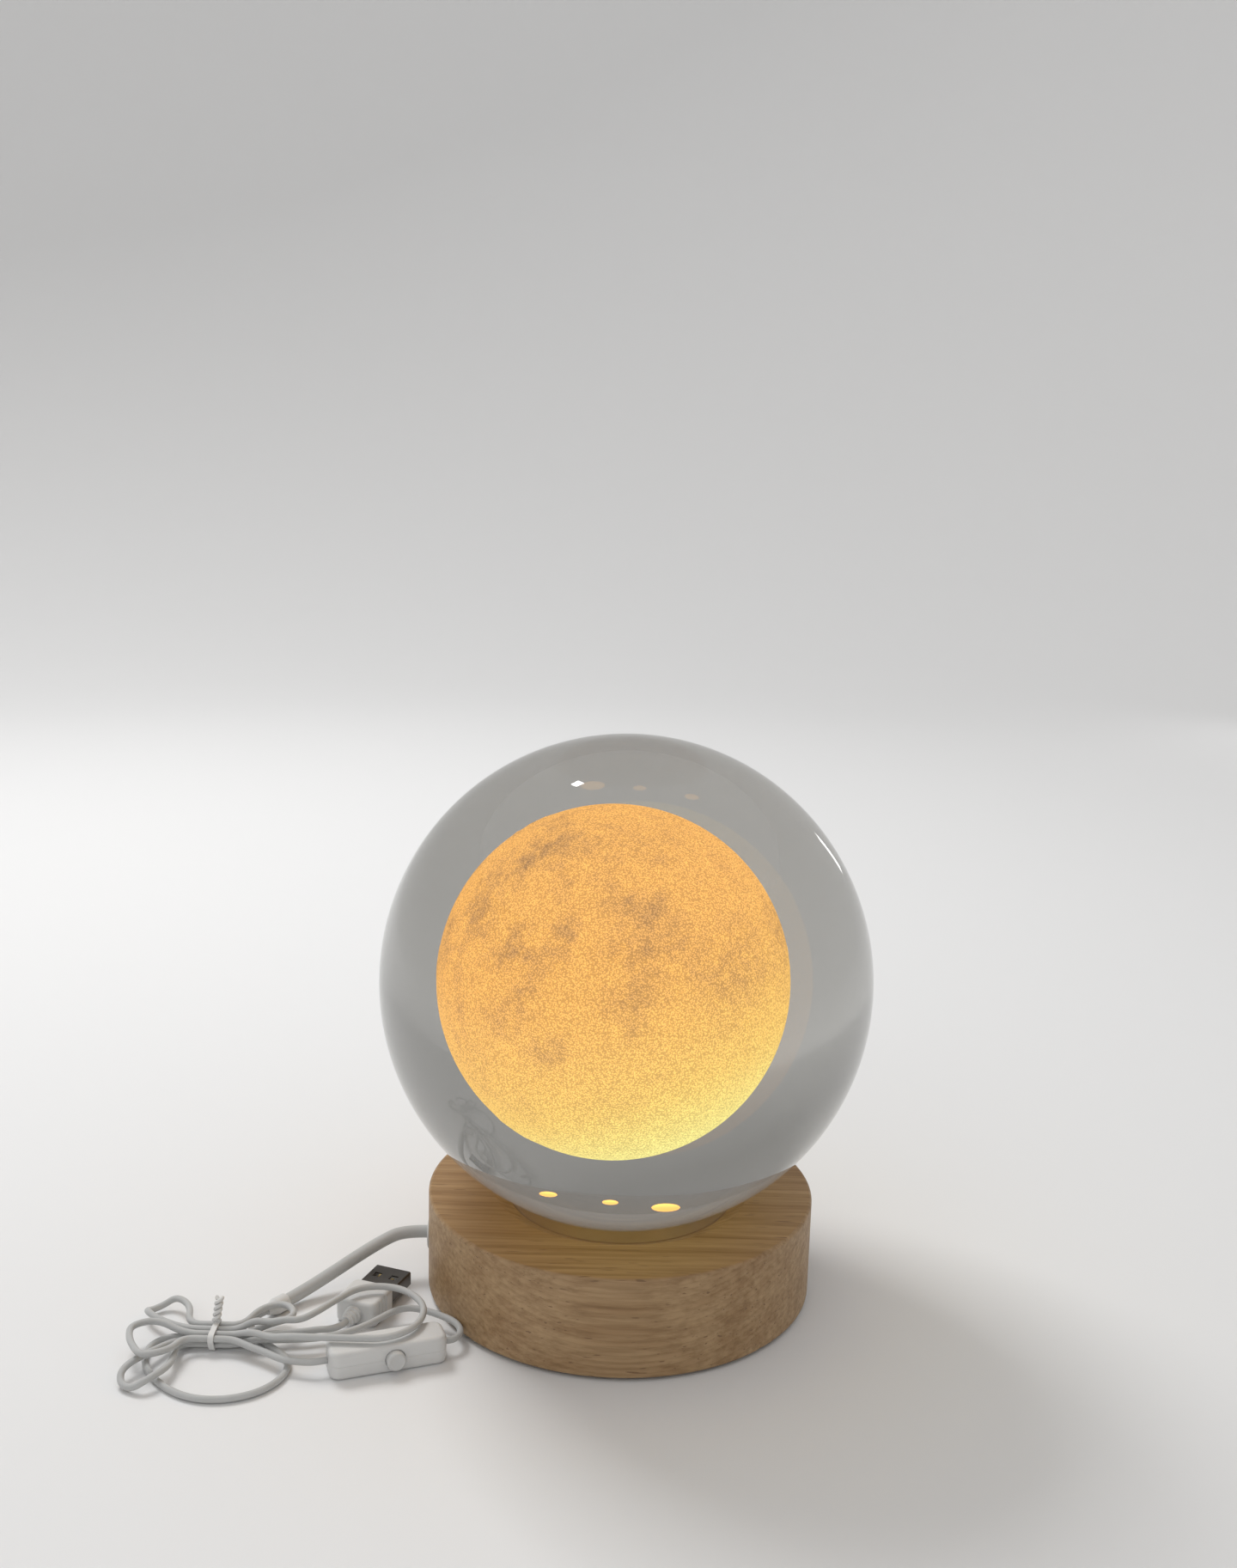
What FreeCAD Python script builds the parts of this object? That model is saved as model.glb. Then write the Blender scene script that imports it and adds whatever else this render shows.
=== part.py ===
"""A solid glass ball lamp with a moon etched inside it, on a lit wooden base.

The ball rests on a clear ring in a turned wooden disc.  Three lights on a round board shine up
into the ball.  A thick lead leaves the base, drops to the table and becomes a thin cord, which
is folded into a tied hank with an inline switch and a plug on its end.

Millimetres.  The origin is the middle of the base's underside, +Z is up and -Y is the front.
"""
import FreeCAD, Part

import math
import os

from FreeCAD import Vector

# ---------------------------------------------------------------- driving dimensions: ball, moon
BALL_RADIUS = 75.0
BALL_HEIGHT = 100.05            # centre of the ball above the table
MOON_RADIUS = 35.7              # outside of the etched layer
MOON_LAYER = 1.6
MOON_ACROSS = -2.6              # the moon sits a little off the ball's centre
MOON_UP = -0.4
ETCH_GAP = 0.25
CRATERS = 18
CRATER_DEPTH = 0.7
BALL_CLEARANCE = 0.3            # between the ball and the ring it rests on

# ---------------------------------------------------------------- driving dimensions: base
BASE_RADIUS = 60.0
BASE_TOP = 32.0
FOOT_HEIGHT = 1.0
EDGE_ROUND = 1.0
RING_SEAT_RADIUS = 35.0
RING_SEAT_FLOOR = 24.0
DISH_RADIUS = 40.0              # shallow dish turned round the seat, to clear the ball
DISH_DEPTH = 2.2
WELL_TOP_RADIUS = 24.2
WELL_FLOOR_RADIUS = 22.0
WELL_FLOOR = 20.5
WINDOW_RADIUS = 18.0
WINDOW_THICKNESS = 2.0
LIGHT_HOLE_RADIUS = 15.0
POCKET_RADIUS = 33.0
POCKET_CEILING = 16.5
COVER_RADIUS = 41.8
COVER_THICKNESS = 2.0
COVER_SCREW_CIRCLE = 38.0
FOOT_CIRCLE = 50.5
FOOT_RADIUS = 6.0
FOOT_COUNT = 4
FIT_GAP = 0.05                  # slack between pieces that are pushed or glued together

# ---------------------------------------------------------------- driving dimensions: light board
BOARD_RADIUS = 23.0
BOARD_THICKNESS = 1.6
BOARD_SCREW_CIRCLE = 20.5
LIGHT_COUNT = 3
LIGHT_CIRCLE = 8.0
LIGHT_SIDE = 5.0
LIGHT_HEIGHT = 1.6

# ---------------------------------------------------------------- driving dimensions: cord
LEAD_RADIUS = 2.0
CORD_RADIUS = 1.0
LEAD_HEIGHT = 14.0              # centre of the lead where it leaves the base
LEAD_INNER_END = 25.5
GROMMET_FACE = 60.4
TIE_X = -117.5
TIE_Y = -46.0
TIE_HALF = 3.5                  # half the straight stretch through the tie
SLOT_PITCH = 2.6
SLOT_ROW = 2.5
SLOT_LOW = 1.8
TIE_WIDTH = 1.6
TIE_THICKNESS = 0.6

# ---------------------------------------------------------------- driving dimensions: switch, plug
SWITCH_X = -66.3
SWITCH_Y = -53.4
SWITCH_TURN = 20.0
SWITCH_LENGTH = 34.0
SWITCH_WIDTH = 10.5
SWITCH_HEIGHT = 8.5
SWITCH_SPLIT = 4.25
SWITCH_WALL = 1.6
SWITCH_CORNER = 3.0
BUTTON_ALONG = 1.5
BUTTON_RADIUS = 2.8
BUTTON_PROUD = 2.2
BUTTON_TRAVEL = 1.5
PLUG_X = -80.5
PLUG_Y = -38.0
PLUG_AIM = 70.0
PLUG_HEIGHT = 4.0               # centre of the plug above the table
PLUG_RELIEF = 5.0
PLUG_BODY = 13.0
PLUG_BODY_WIDTH = 13.5
PLUG_BODY_HEIGHT = 7.8
SHELL_WIDTH = 12.0
SHELL_HEIGHT = 4.5
SHELL_PROUD = 12.0
SHELL_INSIDE = 4.0
SHELL_WALL = 0.4

UP = Vector(0, 0, 1)
ACROSS = Vector(1, 0, 0)


# ---------------------------------------------------------------- small helpers
def turned(profile, centre=Vector(0, 0, 0)):
    """Revolve a closed outline of (radius, height) points about a vertical axis."""
    points = [Vector(r, 0, z) for r, z in profile]
    face = Part.Face(Part.makePolygon(points + points[:1]))
    solid = face.revolve(Vector(0, 0, 0), UP, 360)
    solid.translate(centre)
    return solid


def rod(start, direction, length, radius):
    return Part.makeCylinder(radius, length, Vector(*start), Vector(*direction))


def block(x0, x1, y0, y1, z0, z1):
    return Part.makeBox(x1 - x0, y1 - y0, z1 - z0, Vector(x0, y0, z0))


def rounded_block(length, width, z0, z1, corner):
    """A box centred on the origin, with its upright edges rounded."""
    box = block(-length / 2, length / 2, -width / 2, width / 2, z0, z1)
    upright = [e for e in box.Edges if abs(e.tangentAt(e.FirstParameter).z) > 0.9]
    return box.makeFillet(corner, upright)


def on_circle(radius, count, first_angle, height):
    """Points spread evenly round a circle about the base's axis."""
    angles = [math.radians(first_angle + 360.0 * i / count) for i in range(count)]
    return [Vector(radius * math.cos(a), radius * math.sin(a), height) for a in angles]


def placed(shape, x, y, turn):
    """Turn a shape about the upright axis, then move it to its place on the table."""
    shape = shape.copy()
    shape.rotate(Vector(0, 0, 0), UP, turn)
    shape.translate(Vector(x, y, 0))
    return shape


def countersunk_screw(radius, length, head_radius, head_depth):
    """A self-tapping screw standing on its head, with its tip up."""
    profile = [(0, 0), (head_radius, 0), (radius, head_depth), (radius, length - radius),
               (0.15, length), (0, length)]
    return turned(profile)


def save(name, shape):
    os.makedirs("parts", exist_ok=True)
    shape.exportStep("parts/%s.step" % name)
    print("%-22s solids %d  volume %10.2f mm3" % (name, len(shape.Solids), shape.Volume))


# ---------------------------------------------------------------- cord helpers
def cord_tube(name, route, radius):
    """A tube of straight runs joined by tangent arcs, each as large as its two runs allow."""
    points = [Vector(*p) for p in route]
    edges = []
    reached = points[0]
    radii = []
    for before, corner, after in zip(points, points[1:], points[2:]):
        back = (before - corner).normalize()
        on = (after - corner).normalize()
        half_turn = (math.pi - back.getAngle(on)) / 2
        cut = 0.45 * min((before - corner).Length, (after - corner).Length)
        bend = cut / math.tan(half_turn)
        radii.append(bend)
        middle = corner + (back + on).normalize() * (bend / math.cos(half_turn) - bend)
        arc_start = corner + back * cut
        arc_end = corner + on * cut
        edges.append(Part.LineSegment(reached, arc_start).toShape())
        edges.append(Part.Arc(arc_start, middle, arc_end).toShape())
        reached = arc_end
    edges.append(Part.LineSegment(reached, points[-1]).toShape())
    tube, length = swept(edges, radius)
    turns = " ".join("%.1f" % r for r in radii)
    print("%s: length %.1f, least radius %.1f, radii %s" % (name, length, min(radii), turns))
    return tube


def swept(edges, radius):
    """Sweep a round section along a path, and compare its volume with section times length."""
    path = Part.Wire(edges)
    start = edges[0].valueAt(edges[0].FirstParameter)
    heading = edges[0].tangentAt(edges[0].FirstParameter)
    ring = Part.Wire([Part.Circle(start, heading, radius).toShape()])
    tube = path.makePipeShell([ring], True, False)
    expected = math.pi * radius ** 2 * path.Length
    print("  volume %.1f of %.1f expected" % (tube.Volume, expected))
    return tube, path.Length


def biarc(start, start_heading, end, end_heading):
    """Two arcs that leave start and reach end along the given headings."""
    span = end - start
    both = start_heading + end_heading
    spread = 2 * (1 - start_heading.dot(end_heading))
    reach = span.dot(both)
    if spread < 1e-9:
        arm = span.dot(span) / (4 * span.dot(end_heading))
    else:
        arm = (-reach + math.sqrt(reach ** 2 + spread * span.dot(span))) / spread
    joint = (start + end + (start_heading - end_heading) * arm) * 0.5
    return [arc_from(start, start_heading, joint), arc_from(end, end_heading * -1, joint, True)]


def arc_from(start, heading, end, backwards=False):
    """The arc that leaves start along heading and passes through end."""
    chord = end - start
    along = Vector(chord).normalize()
    side = heading - along * heading.dot(along)
    if side.Length < 1e-7:
        ends = (end, start) if backwards else (start, end)
        return Part.LineSegment(*ends).toShape()
    bulge = chord.Length / 2 * math.tan(heading.getAngle(along) / 2)
    middle = start + chord * 0.5 + side.normalize() * bulge
    ends = (end, middle, start) if backwards else (start, middle, end)
    return Part.Arc(*ends).toShape()


def slot(place, layer):
    """Offset across the bundle, and height, of one cord's place in the tie."""
    return place * SLOT_PITCH, SLOT_LOW + layer * SLOT_ROW


# The seven places in the tie: three cords on the table and four on top of them.
LOW_NEAR = slot(-1, 0)
LOW_MIDDLE = slot(0, 0)
LOW_FAR = slot(1, 0)
TOP_NEAR = slot(-1.5, 1)
TOP_NEAR_MIDDLE = slot(-0.5, 1)
TOP_FAR_MIDDLE = slot(0.5, 1)
TOP_FAR = slot(1.5, 1)


def level(degrees):
    """A level heading, in degrees round the upright axis."""
    angle = math.radians(degrees)
    return Vector(math.cos(angle), math.sin(angle), 0)


def nodes_at(*rows):
    """Points of a path, each with its level heading: rows of x, y, z and degrees."""
    return [(Vector(x, y, z), level(degrees)) for x, y, z, degrees in rows]


def in_tie(place, end, degrees):
    """Where a cord's place in the tie begins, at its right (+1) or left (-1) end."""
    return (Vector(TIE_X + end * TIE_HALF, TIE_Y + place[0], place[1]), level(degrees))


def on_switch(along):
    """A point on the switch's long axis, at the height of its joint, heading along the axis."""
    axis = level(SWITCH_TURN)
    return (Vector(SWITCH_X, SWITCH_Y, SWITCH_SPLIT) + axis * along, axis)


def behind_plug(distance):
    """A point on the plug's axis, behind its back end."""
    axis = level(PLUG_AIM)
    return (Vector(PLUG_X, PLUG_Y, PLUG_HEIGHT) - axis * distance, axis)


def loop_nodes(leave, enter, aim, reach, half_width, heights, turn, fullness):
    """Points and headings of one loop: out of a slot, side, tip, side and into a slot.

    aim is the loop's direction on the table in degrees, turn is +1 or -1 for the side it
    leaves by, and a low fullness makes its tip rounder.
    """
    outward = level(aim)
    sideways = level(aim + 90)
    end = 1 if outward.x > 0 else -1
    root = Vector(TIE_X + end * TIE_HALF, TIE_Y, 0)
    side_reach = reach * math.sin(math.pi / 4) ** fullness
    fade = 1 - side_reach / reach
    side_out = root + outward * side_reach + sideways * (turn * half_width)
    side_out += Vector(0, leave[0] * fade, heights[0])
    tip = root + outward * reach + Vector(0, 0, heights[1])
    side_back = root + outward * side_reach - sideways * (turn * half_width)
    side_back += Vector(0, enter[0] * fade, heights[2])
    facing = 90 - 90 * end
    return [in_tie(leave, end, facing), (side_out, outward), (tip, sideways * -turn),
            (side_back, outward * -1), in_tie(enter, end, facing + 180)]


# The loops of the hank, in the order in which the cord runs through them.
SMALL_RIGHT_LOOP = dict(leave=LOW_FAR, enter=TOP_FAR, aim=30, reach=20, half_width=5.2,
                        heights=(6.3, 6.3, 5.6), turn=-1, fullness=0.75)
FAR_LEFT_LOOP = dict(leave=TOP_FAR, enter=TOP_FAR_MIDDLE, aim=137, reach=24.5, half_width=5.3,
                     heights=(4.0, 1.8, 3.9), turn=-1, fullness=0.6)
NEAR_LEFT_LOOP = dict(leave=TOP_NEAR_MIDDLE, enter=TOP_NEAR, aim=207, reach=20.5, half_width=8.6,
                      heights=(6.4, 6.2, 6.4), turn=-1, fullness=0.75)
PLUG_LOOP = dict(leave=LOW_NEAR, enter=LOW_MIDDLE, aim=238, reach=29, half_width=5.0,
                 heights=(3.9, 1.5, 3.9), turn=1, fullness=0.6)

# The large loop lies over the plug and the switch, and narrows to a neck beside them.
LARGE_LOOP_NODES = nodes_at((-103, -45.9, 7.9, -12), (-95, -47.4, 9.6, -2), (-86.8, -41.6, 10.1, 58),
                            (-72, -28.2, 10.2, 0), (-57, -44.0, 10.2, -92), (-71, -57.3, 10.2, -180),
                            (-90, -57.0, 10.0, 178), (-103, -51.6, 7.2, 155))

HANK_NODES = ([in_tie(LOW_FAR, -1, 0)] + loop_nodes(**SMALL_RIGHT_LOOP) + loop_nodes(**FAR_LEFT_LOOP)
              + [in_tie(TOP_FAR_MIDDLE, 1, 0)] + LARGE_LOOP_NODES + [in_tie(TOP_NEAR_MIDDLE, 1, 180)]
              + loop_nodes(**NEAR_LEFT_LOOP) + [in_tie(TOP_NEAR, 1, 0)])
PLUG_LOOP_NODES = [in_tie(LOW_NEAR, 1, 180)] + loop_nodes(**PLUG_LOOP) + [in_tie(LOW_MIDDLE, 1, 0)]

# The lead's last run, the reducer and the thin cord's first run lie on one line.
LEAD_ROUTE = [(-GROMMET_FACE, 0, LEAD_HEIGHT), (-66.4, 0, LEAD_HEIGHT), (-73.6, -2.5, 12.9),
              (-96.2, -18.6, 2.7), (-101, -25, 2.7)]
REDUCER_END = (-105.5, -31, 2.7)
REDUCER_AIM = math.degrees(math.atan2(-4, -3))
BOTTOM_LOOP_NODES = (nodes_at((*REDUCER_END, REDUCER_AIM), (-107.3, -33.4, 2.7, REDUCER_AIM),
                              (-107.0, -41.2, 1.2, -48), (-97.6, -51.0, 1.15, -42),
                              (-93.8, -59.0, 1.15, -90), (-97.8, -69.2, 1.15, -132),
                              (-112.0, -75.3, 1.15, 180), (-127.5, -68.2, 1.15, 135),
                              (-135.6, -51.5, 1.15, 90), (-128.2, -44.1, 1.15, 0))
                     + [in_tie(LOW_FAR, -1, 0)])
SWITCH_END = SWITCH_LENGTH / 2 + FIT_GAP
TO_SWITCH_NODES = ([in_tie(TOP_NEAR, 1, 0)]
                   + nodes_at((-103.5, -54.0, 3.9, -28), (-93, -59.6, 4.0, -14))
                   + [on_switch(-SWITCH_END - 2), on_switch(-SWITCH_END)])
FROM_SWITCH_NODES = ([on_switch(SWITCH_END), on_switch(SWITCH_END + 1)]
                     + nodes_at((-46.4, -40.8, 4.25, 110), (-57.5, -31.3, 4.3, 155),
                                (-64.8, -30.6, 4.3, 205), (-71.3, -37.0, 4.3, 232),
                                (-80, -44.6, 4.2, 212), (-90, -48.0, 4.0, 189),
                                (-102, -48.6, 3.75, 180))
                     + [in_tie(LOW_NEAR, 1, 180)])
TO_PLUG_NODES = ([in_tie(LOW_MIDDLE, 1, 0)]
                 + nodes_at((-106, -46.1, 3.6, 0), (-94.5, -44.6, 3.95, 8), (-85.9, -42.6, 4.0, 6))
                 + [behind_plug(0.5), behind_plug(FIT_GAP)])


def arc_tube(name, nodes):
    """A thin cord through nodes, each pair joined by a straight run or by two arcs."""
    edges = []
    for (start, heading), (end, end_heading) in zip(nodes, nodes[1:]):
        if heading.cross(end - start).Length < 1e-6:
            edges.append(Part.LineSegment(start, end).toShape())
        else:
            edges += biarc(start, heading, end, end_heading)
    tube, length = swept(edges, CORD_RADIUS)
    gap = least_gap(edges) - 2 * CORD_RADIUS
    bends = [e.Curve.Radius for e in edges if e.Curve.TypeId == "Part::GeomCircle"]
    print("%s: length %.1f, least radius %.1f, least gap %.2f" % (name, length, min(bends), gap))
    return tube


def spread_points(edges, step=0.5):
    """Points along a path and how far along it each one lies."""
    samples = []
    travelled = 0.0
    for edge in edges:
        count = max(2, int(edge.Length / step))
        for i in range(count):
            distance = edge.Length * i / count
            samples.append((travelled + distance, edge.valueAt(edge.getParameterByLength(distance))))
        travelled += edge.Length
    return samples


def least_gap(edges):
    """Least distance between stretches of the path that are not neighbours along it."""
    samples = spread_points(edges)
    apart = 8 * CORD_RADIUS
    return min((p - q).Length for i, (s, p) in enumerate(samples)
               for t, q in samples[i + 1:] if t - s > apart)


# ---------------------------------------------------------------- ball, moon and ring
def crystal_ball():
    """The glass: everything outside the etched layer, and the clear core inside it."""
    moon_centre = Vector(MOON_ACROSS, 0, BALL_HEIGHT + MOON_UP)
    glass = Part.makeSphere(BALL_RADIUS, Vector(0, 0, BALL_HEIGHT))
    hollow = Part.makeSphere(MOON_RADIUS + ETCH_GAP, moon_centre)
    core = Part.makeSphere(MOON_RADIUS - MOON_LAYER - ETCH_GAP, moon_centre)
    return Part.makeCompound([glass.cut(hollow), core])


def etched_moon():
    """The etched layer, with shallow craters spread over it on a spiral."""
    centre = Vector(MOON_ACROSS, 0, BALL_HEIGHT + MOON_UP)
    layer = Part.makeSphere(MOON_RADIUS, centre).cut(Part.makeSphere(MOON_RADIUS - MOON_LAYER, centre))
    golden_angle = math.radians(137.508)
    dents = []
    for i in range(CRATERS):
        height = 0.86 - 1.72 * i / (CRATERS - 1)
        ring = math.sqrt(1 - height ** 2)
        way = Vector(ring * math.cos(i * golden_angle), ring * math.sin(i * golden_angle), height)
        size = 5.0 + 4.0 * ((i * 7) % 5) / 4
        dents.append(Part.makeSphere(size, centre + way * (MOON_RADIUS + size - CRATER_DEPTH)))
    return layer.cut(Part.makeCompound(dents))


def seat_ring():
    """Clear ring in the top of the base, hollowed to the ball's curve."""
    inner = WELL_TOP_RADIUS + 0.3
    outer = RING_SEAT_RADIUS - 0.2
    top = BASE_TOP - DISH_DEPTH
    blank = turned([(inner, RING_SEAT_FLOOR), (outer, RING_SEAT_FLOOR), (outer, top - 0.4),
                    (outer - 0.4, top), (inner, top)])
    return blank.cut(Part.makeSphere(BALL_RADIUS + BALL_CLEARANCE, Vector(0, 0, BALL_HEIGHT)))


# ---------------------------------------------------------------- base
def base_outline():
    """Half section of the turned base, with the two outer edges rounded by arcs."""
    low = FOOT_HEIGHT
    lip = COVER_RADIUS + 0.2
    rim = BASE_RADIUS - EDGE_ROUND
    slack = math.sqrt(0.5) * EDGE_ROUND
    inside = [(rim, low), (lip, low), (lip, low + COVER_THICKNESS + FIT_GAP),
              (POCKET_RADIUS, low + COVER_THICKNESS + FIT_GAP), (POCKET_RADIUS, POCKET_CEILING),
              (LIGHT_HOLE_RADIUS, POCKET_CEILING), (LIGHT_HOLE_RADIUS, WELL_FLOOR - WINDOW_THICKNESS),
              (WINDOW_RADIUS + 0.1, WELL_FLOOR - WINDOW_THICKNESS), (WINDOW_RADIUS + 0.1, WELL_FLOOR),
              (WELL_FLOOR_RADIUS, WELL_FLOOR), (WELL_TOP_RADIUS, RING_SEAT_FLOOR),
              (RING_SEAT_RADIUS, RING_SEAT_FLOOR), (RING_SEAT_RADIUS, BASE_TOP - DISH_DEPTH),
              (DISH_RADIUS, BASE_TOP), (rim, BASE_TOP)]
    points = [Vector(r, 0, z) for r, z in inside]
    edges = [Part.LineSegment(a, b).toShape() for a, b in zip(points, points[1:])]
    top_arc = [(rim, BASE_TOP), (rim + slack, BASE_TOP - EDGE_ROUND + slack),
               (BASE_RADIUS, BASE_TOP - EDGE_ROUND)]
    low_arc = [(BASE_RADIUS, low + EDGE_ROUND), (rim + slack, low + EDGE_ROUND - slack), (rim, low)]
    edges.append(Part.Arc(*[Vector(r, 0, z) for r, z in top_arc]).toShape())
    edges.append(Part.LineSegment(Vector(BASE_RADIUS, 0, BASE_TOP - EDGE_ROUND),
                                  Vector(BASE_RADIUS, 0, low + EDGE_ROUND)).toShape())
    edges.append(Part.Arc(*[Vector(r, 0, z) for r, z in low_arc]).toShape())
    return Part.Face(Part.Wire(edges))


GROMMET_RADIUS = 4.0
GROMMET_FLANGE = 5.2
GROMMET_LENGTH = 9.0
FLANGE_BACK = 59.2
SADDLE_X = -29.0
SADDLE_SCREW_Y = 6.2


def wood_base():
    """Turned disc: ring seat and light well above, wiring pocket below, hole for the lead."""
    disc = base_outline().revolve(Vector(0, 0, 0), UP, 360)
    inward = (1, 0, 0)
    bored = [rod((-BASE_RADIUS - 1, 0, LEAD_HEIGHT), inward, BASE_RADIUS + 1 - POCKET_RADIUS + 2,
                 GROMMET_RADIUS + FIT_GAP),
             rod((-BASE_RADIUS - 1, 0, LEAD_HEIGHT), inward, BASE_RADIUS + 1 - FLANGE_BACK,
                 GROMMET_FLANGE + FIT_GAP)]
    low = FOOT_HEIGHT + COVER_THICKNESS
    for place in on_circle(COVER_SCREW_CIRCLE, 3, 90, low - 1):
        bored.append(rod(place, UP, 10.2, 1.25 + FIT_GAP))
    for place in on_circle(BOARD_SCREW_CIRCLE, 3, 30, POCKET_CEILING - 1):
        bored.append(rod(place, UP, 3.2, 0.8 + FIT_GAP))
    for side in (-1, 1):
        bored.append(rod((SADDLE_X, side * SADDLE_SCREW_Y, POCKET_CEILING - 1), UP, 7.0, 1.0 + FIT_GAP))
    return disc.cut(Part.makeCompound(bored))


def base_cover():
    """Disc that closes the wiring pocket, countersunk for three screws."""
    low = FOOT_HEIGHT
    cover = Part.makeCylinder(COVER_RADIUS, COVER_THICKNESS, Vector(0, 0, low))
    rim = [e for e in cover.Edges if e.Vertexes[0].Z < low + 0.1 and e.Length > 200]
    cover = cover.makeChamfer(0.4, rim)
    for place in on_circle(COVER_SCREW_CIRCLE, 3, 90, low):
        sink = turned([(0, -0.1), (2.65, -0.1), (2.55, 0), (1.35, 1.2), (1.35, 2.2), (0, 2.2)], place)
        cover = cover.cut(sink)
    return cover


def cover_screws():
    screw = countersunk_screw(1.25, 10.0, 2.4, 1.15)
    places = on_circle(COVER_SCREW_CIRCLE, 3, 90, FOOT_HEIGHT + 0.1)
    return Part.makeCompound([screw.translated(p) for p in places])


def feet():
    """Four round pads under the wood."""
    pad = turned([(0, 0), (FOOT_RADIUS - 0.3, 0), (FOOT_RADIUS, 0.3), (FOOT_RADIUS, FOOT_HEIGHT),
                  (0, FOOT_HEIGHT)])
    return Part.makeCompound([pad.translated(p) for p in on_circle(FOOT_CIRCLE, FOOT_COUNT, 45, 0)])


def light_window():
    window = Part.makeCylinder(WINDOW_RADIUS, WINDOW_THICKNESS, Vector(0, 0, WELL_FLOOR - WINDOW_THICKNESS))
    top_edge = [e for e in window.Edges if e.Vertexes[0].Z > WELL_FLOOR - 0.1 and e.Length > 50]
    return window.makeChamfer(0.3, top_edge)


# ---------------------------------------------------------------- light board and wiring
BOARD_TOP = POCKET_CEILING - FIT_GAP
BOARD_UNDERSIDE = BOARD_TOP - BOARD_THICKNESS


def light_board():
    board = Part.makeCylinder(BOARD_RADIUS, BOARD_THICKNESS, Vector(0, 0, BOARD_UNDERSIDE))
    holes = [rod(p, UP, 4, 1.0) for p in on_circle(BOARD_SCREW_CIRCLE, 3, 30, BOARD_UNDERSIDE - 1)]
    return board.cut(Part.makeCompound(holes))


def board_screws():
    """Pan-head screws that hold the board up against the wood."""
    screw = turned([(0, -1.2), (1.2, -1.2), (1.7, -0.8), (1.7, 0), (0.8, 0), (0.8, 2.8), (0.1, 3.6),
                    (0, 3.6)])
    places = on_circle(BOARD_SCREW_CIRCLE, 3, 30, BOARD_UNDERSIDE - FIT_GAP)
    return Part.makeCompound([screw.translated(p) for p in places])


def lights():
    """Square surface-mounted lights, each with a round dished window."""
    half = LIGHT_SIDE / 2
    body = block(-half, half, -half, half, 0, LIGHT_HEIGHT)
    dish = turned([(0, LIGHT_HEIGHT - 0.5), (1.9, LIGHT_HEIGHT - 0.5), (2.2, LIGHT_HEIGHT + 0.1),
                   (0, LIGHT_HEIGHT + 0.1)])
    body = body.cut(dish)
    spots = on_circle(LIGHT_CIRCLE, LIGHT_COUNT, 270, BOARD_TOP)
    return Part.makeCompound([body.translated(p) for p in spots])


def light_resistors():
    """One small resistor beside each light."""
    chip = block(-1.6, 1.6, -0.8, 0.8, 0, 0.6)
    spots = on_circle(4.6, LIGHT_COUNT, 90, BOARD_TOP)
    return Part.makeCompound([chip.translated(p) for p in spots])


def feed_wire(side):
    """A thin wire from the lead's end to a solder pad under the board."""
    route = [(0.25 - LEAD_INNER_END, side * 0.8, LEAD_HEIGHT - 0.2), (-22.6, side * 1.1, LEAD_HEIGHT - 0.8),
             (-19.5, side * 2.6, LEAD_HEIGHT - 1.2), (-17.4, side * 4.6, LEAD_HEIGHT - 1.1),
             (-16.6, side * 6.2, LEAD_HEIGHT - 0.2)]
    return cord_tube("feed wire", route, 0.55)


def lead_saddle():
    """Clip that holds the lead up against the pocket's ceiling, so that a pull can't reach the board."""
    half_length = 3.0
    x0 = SADDLE_X - half_length
    x1 = SADDLE_X + half_length
    wall = 1.5
    inner = LEAD_RADIUS + FIT_GAP
    outer = inner + wall
    top = POCKET_CEILING - FIT_GAP
    ears = block(x0, x1, -8.6, 8.6, top - 1.4, top)
    upright = [e for e in ears.Edges if abs(e.tangentAt(e.FirstParameter).z) > 0.9]
    body = ears.makeFillet(2.0, upright)
    body = body.fuse(rod((x0, 0, LEAD_HEIGHT), (1, 0, 0), 2 * half_length, outer))
    body = body.fuse(block(x0, x1, -outer, outer, LEAD_HEIGHT, top))
    body = body.common(block(x0, x1, -9, 9, 0, top))
    body = body.cut(rod((x0 - 1, 0, LEAD_HEIGHT), (1, 0, 0), 2 * half_length + 2, inner))
    body = body.cut(block(x0 - 1, x1 + 1, -inner, inner, LEAD_HEIGHT, top + 1))
    for side in (-1, 1):
        body = body.cut(rod((SADDLE_X, side * SADDLE_SCREW_Y, top - 3), UP, 5, 1.15))
    return body.removeSplitter()


def saddle_screws():
    screw = turned([(0, -1.4), (1.3, -1.4), (1.9, -0.9), (1.9, 0), (1.0, 0), (1.0, 6.0), (0.1, 7.2),
                    (0, 7.2)])
    height = POCKET_CEILING - FIT_GAP - 1.4 - FIT_GAP
    return Part.makeCompound([screw.translated(Vector(SADDLE_X, side * SADDLE_SCREW_Y, height))
                              for side in (-1, 1)])


def lead_grommet():
    """Flanged sleeve where the lead passes through the side of the base."""
    sleeve = rod((-GROMMET_FACE, 0, LEAD_HEIGHT), (1, 0, 0), GROMMET_LENGTH, GROMMET_RADIUS)
    flange = rod((-GROMMET_FACE, 0, LEAD_HEIGHT), (1, 0, 0), GROMMET_FACE - FLANGE_BACK, GROMMET_FLANGE)
    bore = rod((-GROMMET_FACE - 1, 0, LEAD_HEIGHT), (1, 0, 0), GROMMET_LENGTH + 2, LEAD_RADIUS + FIT_GAP)
    rim = [e for e in flange.Edges if e.Length > 20 and e.Vertexes[0].X < -FLANGE_BACK - 0.5]
    return flange.makeFillet(0.5, rim).fuse(sleeve).cut(bore).removeSplitter()


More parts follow.
